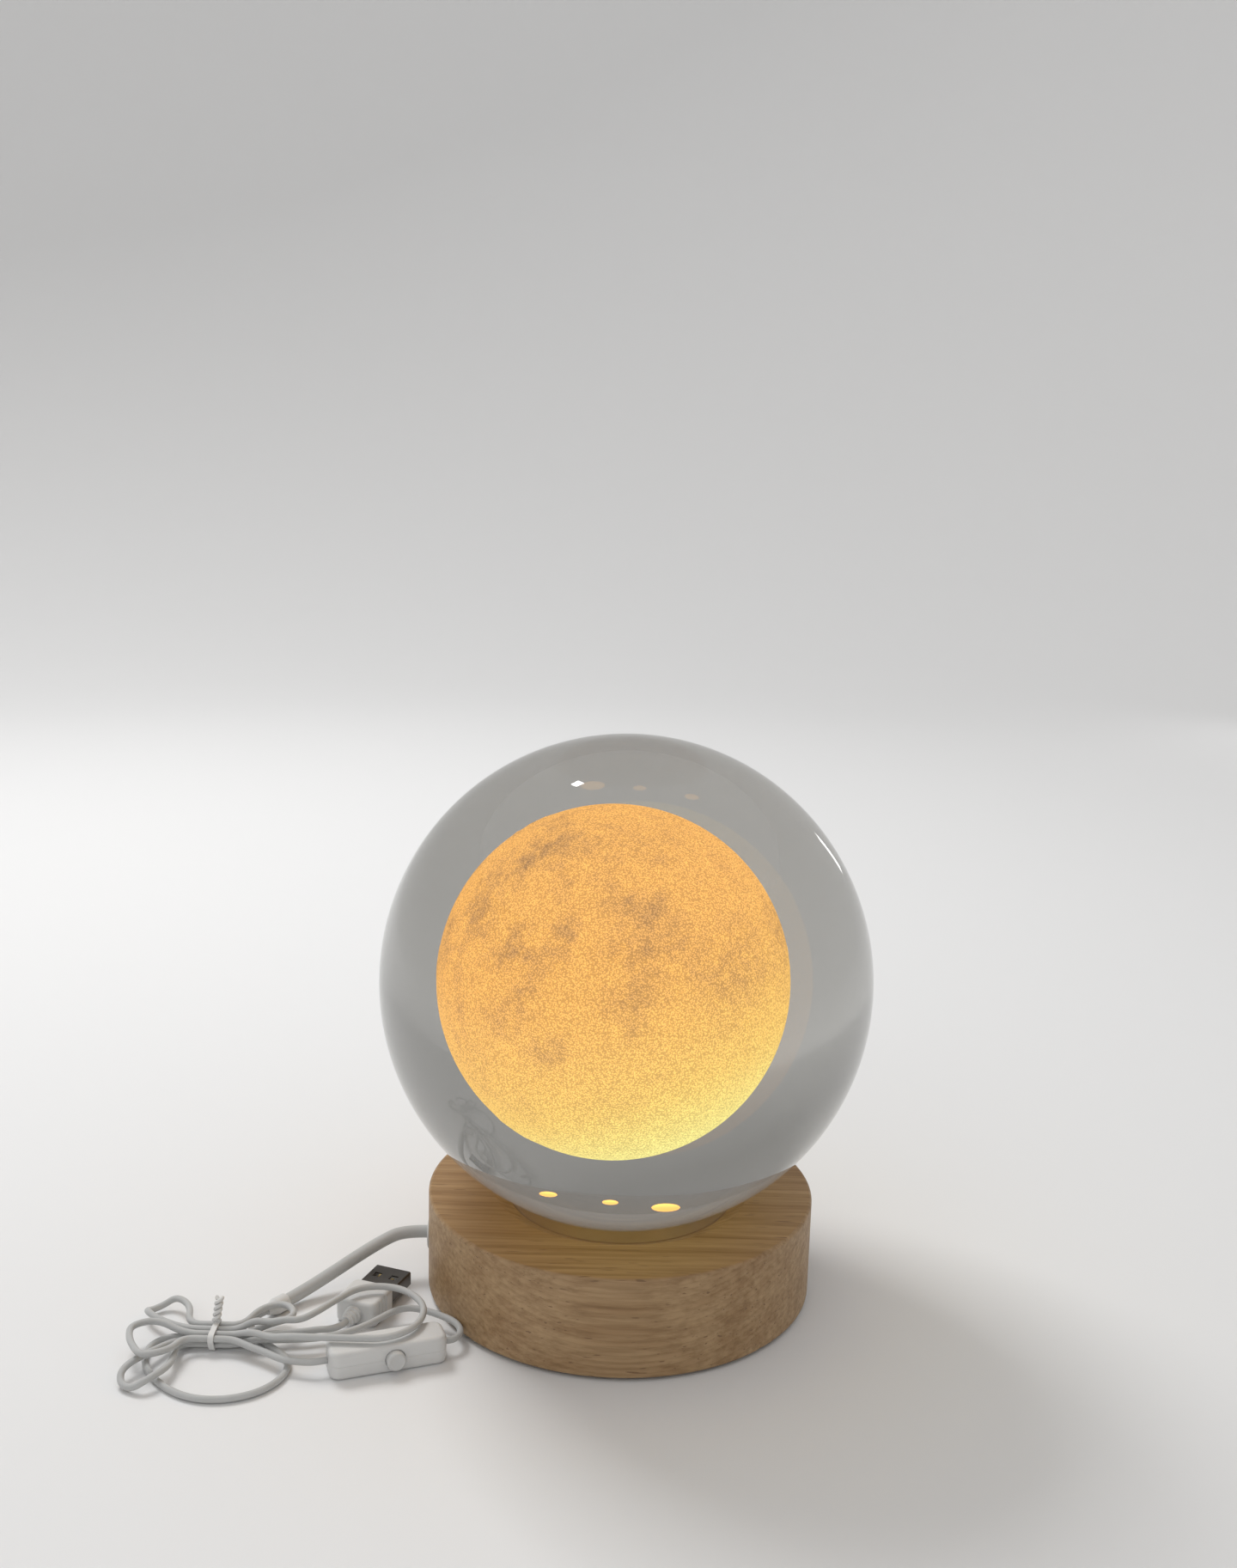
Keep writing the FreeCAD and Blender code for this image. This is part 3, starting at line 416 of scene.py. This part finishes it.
# %% Pale wood group
RING_STRENGTH = 0.30
STREAK_STRENGTH = 0.65
PORE_STRENGTH = 0.7
BAND_SHADES = [(0.34, (0.80, 0.74, 0.67)), (0.60, (1, 1, 1))]


def pale_wood_group():
    group, given, result = start_group(
        "pale_wood",
        [("Early Wood", "NodeSocketColor", (0.43, 0.285, 0.148, 1)),
         ("Late Wood", "NodeSocketColor", (0.235, 0.137, 0.058, 1)),
         ("Pore Color", "NodeSocketColor", (0.16, 0.085, 0.04, 1)),
         ("Ring Spacing", "NodeSocketFloat", 0.0019)],
        [("Color", "NodeSocketColor"), ("Roughness", "NodeSocketFloat"),
         ("Height", "NodeSocketFloat")])
    place = object_place(group)
    late = growth_rings(group, place, given.outputs["Ring Spacing"])
    fibres = noise(group, along_grain(group, place, 22, 620), 1.0, 5.0, 0.62)
    bands = noise(group, along_grain(group, place, 12, 170), 1.0, 3.0, 0.6)
    pores = noise(group, along_grain(group, place, 110, 1150), 1.0, 1.0)
    streak = spread(group, fibres, 0.42, 0.68)
    pore = spread(group, pores, 0.68, 0.74)
    color = mixed(group, times(group, late, RING_STRENGTH), given.outputs["Early Wood"],
                  given.outputs["Late Wood"])
    color = mixed(group, times(group, streak, STREAK_STRENGTH), color, given.outputs["Late Wood"])
    color = mixed(group, 1.0, color, shades(group, bands, BAND_SHADES), "MULTIPLY")
    color = mixed(group, times(group, pore, PORE_STRENGTH), color, given.outputs["Pore Color"])
    rough = plus(group, times(group, fibres, 0.25), 0.38)
    height = calculated(group, "SUBTRACT", times(group, fibres, 0.4), pore)
    connect(group, color, result.inputs["Color"])
    connect(group, rough, result.inputs["Roughness"])
    connect(group, height, result.inputs["Height"])
    return group


pale_wood = pale_wood_group()
print("group", pale_wood.name)

# %% [markdown]
# ## Etched layer
# Inside the ball a laser has left many thousands of tiny cracks.  Each scatters the warm light that
# comes from below.  That light is painted here as the layer's own glow, brighter low down and to
# the right, with darker plains where the cracks are fewer.  The plains and the small speckles come
# first.

# %% Plains and speckles on the moon
PLAINS_TOWARDS = Vector((-0.62, -0.58, 0.53))   # the way to the darkest plains


def share_towards(group, local, way):
    """How far a point of the moon lies towards a direction, from -1 to 1."""
    node = add_node(group, "ShaderNodeVectorMath", {1: way / MOON_RADIUS}, operation="DOT_PRODUCT")
    connect(group, local, node.inputs[0])
    return node.outputs["Value"]


def dark_plains(group, local, patches, lit):
    """Plains, from 0 to 1: gathered on two opposite sides, and weak where the light is strong."""
    plain = times(group, spread(group, patches, 0.48, 0.64),
                  spread(group, lit, 0.1, 0.8, 0.85, 0.05))
    aside = calculated(group, "ABSOLUTE", share_towards(group, local, PLAINS_TOWARDS))
    return times(group, plain, spread(group, aside, 0.25, 0.85, 0.3, 1.0))


def small_speckles(group, local, patches, lit):
    """Clumps of missing grains, from 0 to 1, more of them in the plains and away from the light."""
    clumps = noise(group, local, 380.0, 4.0, 0.6)
    speckle = times(group, spread(group, clumps, 0.42, 0.66, 1.0, 0.0),
                    spread(group, patches, 0.42, 0.66, 0.18, 0.75))
    return times(group, speckle, spread(group, lit, 0.2, 0.9, 0.6, 0.2))


print("plains and speckles ready")

# %% [markdown]
# ## Grains of the etching
# The single grains are cells of a fine Voronoi pattern, bright in the middle.  They multiply the
# glow, and they also make the layer's surface uneven, so the group puts out a colour and a height.

# %% Etched layer group
# The moon's painted light is strongest towards LIT_FROM, low down and to the right, where the
# lights below shine in.
LIT_FROM = Vector((0.32, 0.0, -0.947))          # the way to the brightest part of the moon
PAINTED_RIM_HIGHLIGHT_COLOR = (1.0, 0.95, 0.36)
BLACK = (0.0, 0.0, 0.0)


def etched_glow_group():
    group, given, result = start_group(
        "etched_painted_glow",
        [("Bright", "NodeSocketColor", (1.0, 0.78, 0.20, 1)),
         ("Warm", "NodeSocketColor", (1.0, 0.50, 0.125, 1)),
         ("Plain", "NodeSocketColor", (0.42, 0.23, 0.10, 1)),
         ("Grain Scale", "NodeSocketFloat", 2500.0)],
        [("Color", "NodeSocketColor"), ("Height", "NodeSocketFloat")])
    moved = add_node(group, "ShaderNodeVectorMath", {1: MOON_CENTRE}, operation="SUBTRACT")
    connect(group, object_place(group), moved.inputs[0])
    local = moved.outputs[0]
    facing = share_towards(group, local, LIT_FROM)
    lit = spread(group, facing, -0.6, 0.95)
    # Painted highlight: a brighter, yellower cap at the lower right, standing for the bright edge
    # of the etched layer there.
    rim = calculated(group, "POWER", spread(group, facing, 0.50, 0.96), 1.8)
    color = mixed(group, calculated(group, "POWER", lit, 2.2), given.outputs["Warm"],
                  given.outputs["Bright"])
    color = mixed(group, times(group, rim, 0.75), color, PAINTED_RIM_HIGHLIGHT_COLOR)
    patches = noise(group, local, 52.0, 5.0, 0.62)
    dark = plus(group, times(group, dark_plains(group, local, patches, lit), 0.5),
                small_speckles(group, local, patches, lit))
    color = mixed(group, dark, color, given.outputs["Plain"])
    grains = add_node(group, "ShaderNodeTexVoronoi", {"Randomness": 1.0})
    connect(group, local, grains.inputs["Vector"])
    connect(group, given.outputs["Grain Scale"], grains.inputs["Scale"])
    grain = spread(group, grains.outputs["Distance"], 0.25, 0.62, 1.0, 0.0)
    color = mixed(group, plus(group, times(group, grain, 0.44), 0.56), BLACK, color)
    connect(group, color, result.inputs["Color"])
    connect(group, grain, result.inputs["Height"])
    return group


etched_painted_glow = etched_glow_group()
print("group", etched_painted_glow.name)

# %% [markdown]
# ## Wood, glass and etching
# Each finish is its own material with its own Principled shader.  The groups above feed the
# sockets that change over the surface; what is the same everywhere is set on the shader itself.
# The ball's glass is tinted grey, which also darkens the moon behind it, so the etched layer glows
# a little stronger than it looks.

# %% Wood, glass and etching
def wood_material():
    material, tree, shader = start_material("turned_wood", {})
    wood = add_node(tree, "ShaderNodeGroup", node_tree=pale_wood)
    connect(tree, wood.outputs["Color"], shader.inputs["Base Color"])
    connect(tree, wood.outputs["Roughness"], shader.inputs["Roughness"])
    add_bump(tree, shader, wood.outputs["Height"], 0.35, 0.12 * MM)
    return material


def glass_material(name, tint, roughness=0.0):
    return start_material(name, {"Base Color": (*tint, 1), "Roughness": roughness, "IOR": 1.52,
                                 "Transmission Weight": 1.0})[0]


# The etched layer's emission is painted light: the lights' glow as the cracks scatter it.
def etched_material():
    material, tree, shader = start_material("etched_layer", {
        "Base Color": (0.03, 0.02, 0.01, 1), "Roughness": 0.9, "Specular IOR Level": 0.0,
        "Emission Strength": 2.1})
    glow = add_node(tree, "ShaderNodeGroup", node_tree=etched_painted_glow)
    connect(tree, glow.outputs["Color"], shader.inputs["Emission Color"])
    add_bump(tree, shader, glow.outputs["Height"], 0.3, 0.2 * MM)
    return material


turned_wood = wood_material()
ball_glass = glass_material("ball_glass", (0.43, 0.425, 0.405))
window_plastic = glass_material("clear_window_plastic", (0.93, 0.93, 0.93), 0.08)
etched_layer = etched_material()
print("wood, glass and etching ready")

# %% [markdown]
# ## Plastics, cord, metals and lights
# All but the lights place the mottle group with their own colour and gloss.  The ring under the
# ball is frosted plastic that lets some light through; its dark brown tone is painted shade and its
# faint warm glow is painted light from the lights beside it.

# %% Plastics, cord, metals and lights
FINE_GRAIN = 0.05 * MM


def mottled_material(name, color, smooth, rough, amount=0.15, metallic=0.0, cloud=60.0, extra=()):
    material, tree, shader = start_material(name, {"Metallic": metallic, **dict(extra)})
    mottle = add_node(tree, "ShaderNodeGroup", node_tree=surface_mottle)
    set_inputs(mottle, {"Color": (*color, 1), "Smooth": smooth, "Rough": rough, "Amount": amount,
                        "Cloud Scale": cloud})
    connect(tree, mottle.outputs["Color"], shader.inputs["Base Color"])
    connect(tree, mottle.outputs["Roughness"], shader.inputs["Roughness"])
    add_bump(tree, shader, mottle.outputs["Height"], 0.2, FINE_GRAIN)
    return material


def light_material(name, strength):
    return start_material(name, {"Base Color": (0.9, 0.7, 0.3, 1),
                                 "Emission Color": (1.0, 0.52, 0.14, 1),
                                 "Emission Strength": strength})[0]


# Painted shade and light on the ring: its dark brown stands for the shaded wood at the ball's foot,
# and its faint warm emission for the lights' glow.
RING_PAINTED_GLOW = {"Transmission Weight": 0.25, "Emission Color": (1.0, 0.55, 0.22, 1),
             "Emission Strength": 0.025}
ring_plastic_painted_shade_and_light = mottled_material("lit_ring_plastic", (0.30, 0.19, 0.10), 0.30, 0.50, 0.20,
                                extra=RING_PAINTED_GLOW)
cord_plastic = mottled_material("cord_plastic", (0.50, 0.505, 0.50), 0.38, 0.55, 0.30)
moulded_plastic = mottled_material("moulded_plastic", (0.66, 0.66, 0.65), 0.28, 0.42, 0.18)
button_plastic = mottled_material("button_plastic", (0.56, 0.56, 0.55), 0.30, 0.42, 0.18)
tie_paper = mottled_material("tie_paper", (0.74, 0.74, 0.73), 0.55, 0.75, 0.25)
shell_steel = mottled_material("shell_steel", (0.17, 0.16, 0.15), 0.28, 0.45, 0.35, 1.0)
screw_steel = mottled_material("screw_steel", (0.60, 0.60, 0.61), 0.25, 0.40, 0.20, 1.0)
contact_brass = mottled_material("contact_brass", (0.80, 0.58, 0.24), 0.25, 0.40, 0.20, 1.0)
pad_rubber = mottled_material("pad_rubber", (0.03, 0.03, 0.03), 0.65, 0.85, 0.30)
cover_board = mottled_material("cover_board", (0.10, 0.06, 0.04), 0.60, 0.80, 0.40, cloud=200.0)
circuit_board = mottled_material("circuit_board", (0.72, 0.72, 0.68), 0.35, 0.50)
resistor_black = mottled_material("resistor_black", (0.02, 0.02, 0.02), 0.35, 0.50)
red_sleeve = mottled_material("red_sleeve", (0.42, 0.02, 0.015), 0.35, 0.50)
black_sleeve = mottled_material("black_sleeve", (0.015, 0.015, 0.015), 0.35, 0.50)
warm_light = light_material("warm_light", 14.0)
light_fleck = light_material("light_fleck", 2.2)
print("materials", len(bpy.data.materials))

# %% [markdown]
# ## Measured pieces that stay
# The turned, moulded and stamped pieces are right as measured, so they only get their finish.

# %% Finish the measured pieces
FINISHES = {
    turned_wood: ("wood_base",),
    ring_plastic_painted_shade_and_light: ("seat_ring",),
    window_plastic: ("light_window",),
    cover_board: ("base_cover",),
    screw_steel: ("cover_screws", "board_screws", "saddle_screws", "switch_screws"),
    pad_rubber: ("feet",),
    circuit_board: ("light_board",),
    warm_light: ("lights",),
    resistor_black: ("light_resistors",),
    red_sleeve: ("feed_wire_red",),
    black_sleeve: ("feed_wire_black",),
    moulded_plastic: ("lead_saddle", "lead_grommet", "cord_reducer", "switch_case_top",
                      "switch_case_bottom", "plug_relief", "plug_body", "plug_tongue"),
    button_plastic: ("switch_button",),
    cord_plastic: ("inner_lead",),
    tie_paper: ("twist_tie",),
    shell_steel: ("plug_shell",),
    contact_brass: ("contact_bridge", "fixed_contacts", "plug_contacts"),
}
for finish, names in FINISHES.items():
    for name in names:
        for slot in parts[name].material_slots:
            slot.material = finish
print("finished", sum(len(names) for names in FINISHES.values()), "measured pieces")

# %% [markdown]
# ## The ball
# The measured ball has a hollow for the etched layer.  The real one is a single polished sphere
# with the etching inside it, and it is drawn that way here, so that the glass magnifies the moon as
# the real ball does.  Fine rings of faces keep the refraction clean.

# %% Glass ball
BALL_RINGS = 96


def sphere_mesh(name, centre, radius, rings):
    work = bmesh.new()
    bmesh.ops.create_uvsphere(work, u_segments=2 * rings, v_segments=rings, radius=radius)
    bmesh.ops.translate(work, verts=work.verts, vec=centre)
    return smooth_mesh(name, work)


ball_mesh = sphere_mesh("glass_ball", BALL_CENTRE, BALL_RADIUS, BALL_RINGS)
glass_ball = add_piece("glass_ball", ball_mesh, "ball", ball_glass)
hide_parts("crystal_ball")
print("ball faces", len(glass_ball.data.polygons))

# %% [markdown]
# ## The moon's craters
# The craters lie on a spiral of golden turns, which spreads them evenly without a pattern.  Each is
# as wide as a ball would press it at that depth, and has a low rim.

# %% Craters
CRATERS = 18
TOP_CRATER = 0.86
CRATER_DEPTH = 0.7 * MM
CRATER_REACH = 1.6
RIM_PLACE = 1.1
RIM_WIDTH = 0.2
RIM_HEIGHT = 0.25
GOLDEN_TURN = math.radians(137.508)


def crater_list():
    """Direction and half angle of each crater, as balls of 5 to 9 mm radius would press them."""
    craters = []
    for i in range(CRATERS):
        height = TOP_CRATER * (1 - 2 * i / (CRATERS - 1))
        ring = math.sqrt(1 - height ** 2)
        turn = i * GOLDEN_TURN
        way = Vector((ring * math.cos(turn), ring * math.sin(turn), height))
        size = (5.0 + 4.0 * ((i * 7) % 5) / 4) * MM
        craters.append((way, math.sqrt(2 * size * CRATER_DEPTH) / MOON_RADIUS))
    return craters


def crater_lift(share):
    """Height of the surface where share is the way out from a crater's middle to its edge."""
    bowl_part = max(0.0, 1 - share * share)
    rim_part = RIM_HEIGHT * math.exp(-((share - RIM_PLACE) / RIM_WIDTH) ** 2)
    return CRATER_DEPTH * (rim_part - bowl_part)


print("craters", CRATERS)

# %% [markdown]
# ## The moon
# The etched layer is a sphere with those craters pressed into it.  Moving the sphere's points in
# code keeps it one closed mesh.

# %% Etched moon
MOON_RINGS = 80
LAYER_INSET = 0.2 * MM


def etched_moon_mesh():
    mesh = sphere_mesh("moon_etching", MOON_CENTRE, MOON_RADIUS, MOON_RINGS)
    craters = crater_list()
    for vertex in mesh.vertices:
        way = (vertex.co - MOON_CENTRE).normalized()
        shares = [way.angle(middle) / half_angle for middle, half_angle in craters]
        lift = sum(crater_lift(share) for share in shares if share < CRATER_REACH)
        vertex.co = MOON_CENTRE + way * (MOON_RADIUS - LAYER_INSET + lift)
    return mesh


moon_etching = add_piece("moon_etching", etched_moon_mesh(), "ball", etched_layer)
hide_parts("etched_moon")
print("moon faces", len(moon_etching.data.polygons))

# %% [markdown]
# ## The lights' images
# The underside of the ball shows each light again, as a small bright fleck that floats low in the
# glass.  Rendered glass doesn't carry light that far, so three flat glowing grains stand for them.

# %% Images of the lights
IMAGE_HEIGHT = 56.0 * MM
IMAGE_SLOPE = 0.08
IMAGE_ACROSS = (-13.5 * MM, -1.8 * MM, 8.6 * MM)
IMAGE_SIZES = (0.8, 0.7, 1.25)
GRAIN_RADIUS = 1.6 * MM
GRAIN_SHAPE = (1.35, 1.0, 0.42)


def light_image_mesh():
    work = bmesh.new()
    for across, size in zip(IMAGE_ACROSS, IMAGE_SIZES):
        made = bmesh.ops.create_uvsphere(work, u_segments=24, v_segments=12,
                                         radius=GRAIN_RADIUS * size)["verts"]
        bmesh.ops.scale(work, verts=made, vec=GRAIN_SHAPE)
        bmesh.ops.translate(work, verts=made,
                            vec=(across, 0, IMAGE_HEIGHT - IMAGE_SLOPE * across))
    return smooth_mesh("light_images", work)


light_images = add_piece("light_images", light_image_mesh(), "ball", light_fleck)
print("light image faces", len(light_images.data.polygons))

# %% [markdown]
# ## Cords
# A cord is a smooth curve with a round section.  Its route is a list of points, each with the way
# the cord heads there, and two corner points are worked out between each pair so that the curve
# leaves and arrives along those headings.  From here on, routes are in millimetres.

# %% Cord helpers
def heading(degrees):
    angle = math.radians(degrees)
    return Vector((math.cos(angle), math.sin(angle), 0))


def route_nodes(*rows):
    """Rows of x, y, z and heading become points with headings."""
    return [(Vector((x, y, z)), heading(degrees)) for x, y, z, degrees in rows]


def corners_between(start, start_way, end, end_way):
    """The two corners of a pair of arcs that leave start and reach end along their headings."""
    span = end - start
    spread_ways = 2 * (1 - start_way.dot(end_way))
    reach = span.dot(start_way + end_way)
    if spread_ways < 1e-9:
        arm = span.dot(span) / (4 * span.dot(end_way))
    else:
        arm = (-reach + math.sqrt(reach ** 2 + spread_ways * span.dot(span))) / spread_ways
    return [start + start_way * arm, end - end_way * arm]


def route_points(nodes):
    """Control points of a route: its ends, and the corners between each pair of nodes."""
    points = [nodes[0][0]]
    for (start, start_way), (end, end_way) in zip(nodes, nodes[1:]):
        if start_way.cross(end - start).length < 1e-6:
            points.append(start.lerp(end, 0.5))
        else:
            points += corners_between(start, start_way, end, end_way)
    points.append(nodes[-1][0])
    return points


def cord_curve(name, points, radius):
    """A round cord along one smooth spline; points are in millimetres."""
    curve = bpy.data.curves.new(name, "CURVE")
    curve.dimensions = "3D"
    curve.bevel_depth = radius
    curve.bevel_resolution = 5
    curve.resolution_u = 8
    curve.use_fill_caps = True
    spline = curve.splines.new("NURBS")
    spline.points.add(len(points) - 1)
    for point, place in zip(spline.points, points):
        point.co = (*(Vector(place) * MM), 1)
    spline.order_u = 3
    spline.use_endpoint_u = True
    cord = add_object(name, curve)
    curve.materials.append(cord_plastic)
    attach(cord, "base")
    return cord


print("cord helpers ready")

# %% [markdown]
# ## The tied hank
# A twist tie holds seven strands in two layers, each in its own place, so that none runs through
# another.

# %% Places in the tie
TIE = Vector((-117.5, -46.0, 0))
TIE_HALF = 3.5
SLOT_PITCH = 2.6
SLOT_ROW = 2.5
SLOT_LOW = 1.8


def tie_slot(place, layer):
    return place * SLOT_PITCH, SLOT_LOW + layer * SLOT_ROW


def in_tie(slot, end, degrees):
    return (TIE + Vector((end * TIE_HALF, slot[0], slot[1])), heading(degrees))


LOW_NEAR, LOW_MIDDLE, LOW_FAR = [tie_slot(place, 0) for place in (-1, 0, 1)]
TOP_NEAR, TOP_NEAR_MIDDLE, TOP_FAR_MIDDLE, TOP_FAR = [tie_slot(place, 1)
                                                      for place in (-1.5, -0.5, 0.5, 1.5)]
print("seven places in the tie")

# %% [markdown]
# ## The loops
# A loop leaves one place in the tie, swings out round its tip and comes back into another.  One
# rule shapes four of them.  The large loop, which lies over the plug, is a list of its own points.

# %% Loops
def loop_nodes(leave, enter, aim, reach, half_width, heights, turn, fullness):
    """One loop: out of a slot, along a side, round the tip, back along the other side and in."""
    outward = heading(aim)
    sideways = heading(aim + 90)
    end = 1 if outward.x > 0 else -1
    root = TIE + Vector((end * TIE_HALF, 0, 0))
    side_reach = reach * math.sin(math.pi / 4) ** fullness
    fade = 1 - side_reach / reach
    side_out = root + outward * side_reach + sideways * (turn * half_width)
    side_out += Vector((0, leave[0] * fade, heights[0]))
    tip = root + outward * reach + Vector((0, 0, heights[1]))
    side_back = root + outward * side_reach - sideways * (turn * half_width)
    side_back += Vector((0, enter[0] * fade, heights[2]))
    facing = 90 - 90 * end
    return [in_tie(leave, end, facing), (side_out, outward), (tip, sideways * -turn),
            (side_back, outward * -1), in_tie(enter, end, facing + 180)]


SMALL_RIGHT_LOOP = dict(leave=LOW_FAR, enter=TOP_FAR, aim=30, reach=20, half_width=5.2,
                        heights=(6.3, 6.3, 5.6), turn=-1, fullness=0.75)
FAR_LEFT_LOOP = dict(leave=TOP_FAR, enter=TOP_FAR_MIDDLE, aim=137, reach=24.5, half_width=5.3,
                     heights=(4.0, 1.8, 3.9), turn=-1, fullness=0.6)
NEAR_LEFT_LOOP = dict(leave=TOP_NEAR_MIDDLE, enter=TOP_NEAR, aim=207, reach=20.5, half_width=8.6,
                      heights=(6.4, 6.2, 6.4), turn=-1, fullness=0.75)
PLUG_LOOP = dict(leave=LOW_NEAR, enter=LOW_MIDDLE, aim=238, reach=29, half_width=5.0,
                 heights=(3.9, 1.5, 3.9), turn=1, fullness=0.6)
LARGE_LOOP = route_nodes((-103, -45.9, 7.9, -12), (-95, -47.4, 9.6, -2), (-86.8, -41.6, 10.1, 58),
                         (-72, -28.2, 10.2, 0), (-57, -44.0, 10.2, -92), (-71, -57.3, 10.2, -180),
                         (-90, -57.0, 10.0, 178), (-103, -51.6, 7.2, 155))
print("four loops and the plug's loop")

# %% [markdown]
# ## The thick lead
# The lead leaves the base level, then runs down to the table nearly straight, because a 4 mm lead
# is too stiff to drop at once.  It ends in the moulded joint.

# %% Thick lead
LEAD_POINTS = [(-60.4, 0, 14.0), (-66.4, 0, 14.0), (-73.6, -2.5, 12.9), (-96.2, -18.6, 2.7),
               (-101, -25, 2.7)]
lead = cord_curve("thick_lead", LEAD_POINTS, LEAD_RADIUS)
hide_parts("lead_cord")
print("lead points", len(LEAD_POINTS))

# %% [markdown]
# ## The switch's spring
# A small coil of steel wire pushes the button out again.  It is wound here as a tube along a helix.

# %% Return spring
SWITCH = Vector((-66.3, -53.4, 4.25))
SWITCH_TURN = 20.0
BUTTON_ALONG = 1.5
SPRING_FRONT = 0.89
SPRING_LENGTH = 2.57
SPRING_TURNS = 3.5
SPRING_RADIUS = 1.0
SPRING_WIRE = 0.14
STEPS_A_TURN = 28
WIRE_SIDES = 10

switch_along = heading(SWITCH_TURN)
switch_inward = heading(SWITCH_TURN + 90)
button_axis = SWITCH + switch_along * BUTTON_ALONG


def wire_ring(work, share):
    """The points round the wire, at a share of the way along the spring."""
    turned = 2 * math.pi * SPRING_TURNS * share
    outward = switch_along * math.cos(turned) + Vector((0, 0, math.sin(turned)))
    centre = (button_axis + switch_inward * (SPRING_FRONT + SPRING_LENGTH * share)
              + outward * SPRING_RADIUS)
    ring = []
    for side in range(WIRE_SIDES):
        angle = 2 * math.pi * side / WIRE_SIDES
        offset = outward * math.cos(angle) + switch_inward * math.sin(angle)
        ring.append(work.verts.new((centre + offset * SPRING_WIRE) * MM))
    return ring


def spring_mesh():
    work = bmesh.new()
    steps = int(SPRING_TURNS * STEPS_A_TURN)
    rings = [wire_ring(work, step / steps) for step in range(steps + 1)]
    for near, far in zip(rings, rings[1:]):
        for side in range(WIRE_SIDES):
            after = (side + 1) % WIRE_SIDES
            work.faces.new((near[side], near[after], far[after], far[side]))
    work.faces.new(rings[0])
    work.faces.new(rings[-1])
    bmesh.ops.recalc_face_normals(work, faces=work.faces)
    return smooth_mesh("return_spring", work)


return_spring = add_piece("return_spring", spring_mesh(), "base", screw_steel)
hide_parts("button_spring")
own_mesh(return_spring)
print("spring faces", len(return_spring.data.polygons))

# %% [markdown]
# ## The thin cord to the switch
# From the joint the cord makes a large turn on the table, then runs four times through the tie, one
# loop after another, and ends at the switch.

# %% Thin cord to the switch
SWITCH_END = 17.05
REDUCER_END = (-105.5, -31, 2.7)
REDUCER_AIM = math.degrees(math.atan2(-4, -3))


def on_switch(along):
    return (SWITCH + switch_along * along, switch_along)


bottom_loop = route_nodes((*REDUCER_END, REDUCER_AIM), (-107.3, -33.4, 2.7, REDUCER_AIM),
                          (-107.0, -41.2, 1.2, -48), (-97.6, -51.0, 1.15, -42),
                          (-93.8, -59.0, 1.15, -90), (-97.8, -69.2, 1.15, -132),
                          (-112.0, -75.3, 1.15, 180), (-127.5, -68.2, 1.15, 135),
                          (-135.6, -51.5, 1.15, 90), (-128.2, -44.1, 1.15, 0))
to_switch = (route_nodes((-103.5, -54.0, 3.9, -28), (-93, -59.6, 4.0, -14))
             + [on_switch(-SWITCH_END - 2), on_switch(-SWITCH_END)])
first_cord_nodes = (bottom_loop + [in_tie(LOW_FAR, -1, 0)] + loop_nodes(**SMALL_RIGHT_LOOP)
                    + loop_nodes(**FAR_LEFT_LOOP) + [in_tie(TOP_FAR_MIDDLE, 1, 0)] + LARGE_LOOP
                    + [in_tie(TOP_NEAR_MIDDLE, 1, 180)] + loop_nodes(**NEAR_LEFT_LOOP)
                    + [in_tie(TOP_NEAR, 1, 0)] + to_switch)
first_cord = cord_curve("cord_before_switch", route_points(first_cord_nodes), CORD_RADIUS)
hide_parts("cord_bottom_loop", "cord_hank", "cord_to_switch")
print("points before the switch", len(first_cord.data.splines[0].points))

# %% [markdown]
# ## The thin cord to the plug
# A second length goes from the switch back through the tie, round a long loop and to the plug,
# which lies under the large loop of the hank.

# %% Thin cord to the plug
PLUG = Vector((-80.5, -38.0, 4.0))
PLUG_AIM = 70.0


def behind_plug(distance):
    return (PLUG - heading(PLUG_AIM) * distance, heading(PLUG_AIM))


second_cord_nodes = ([on_switch(SWITCH_END), on_switch(SWITCH_END + 1)]
                     + route_nodes((-46.4, -40.8, 4.25, 110), (-57.5, -31.3, 4.3, 155),
                                   (-64.8, -30.6, 4.3, 205), (-71.3, -37.0, 4.3, 232),
                                   (-80, -44.6, 4.2, 212), (-90, -48.0, 4.0, 189),
                                   (-102, -48.6, 3.75, 180))
                     + [in_tie(LOW_NEAR, 1, 180)] + loop_nodes(**PLUG_LOOP)
                     + [in_tie(LOW_MIDDLE, 1, 0)]
                     + route_nodes((-106, -46.1, 3.6, 0), (-94.5, -44.6, 3.95, 8),
                                   (-85.9, -42.6, 4.0, 6))
                     + [behind_plug(0.5), behind_plug(0.05)])
second_cord = cord_curve("cord_after_switch", route_points(second_cord_nodes), CORD_RADIUS)
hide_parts("cord_from_switch", "cord_plug_loop", "cord_to_plug")
print("points after the switch", len(second_cord.data.splines[0].points))

# %% [markdown]
# ## View and finish
# The Standard view shows colours as they are written.

# %% View and finish
bpy.context.scene.view_settings.view_transform = "Standard"
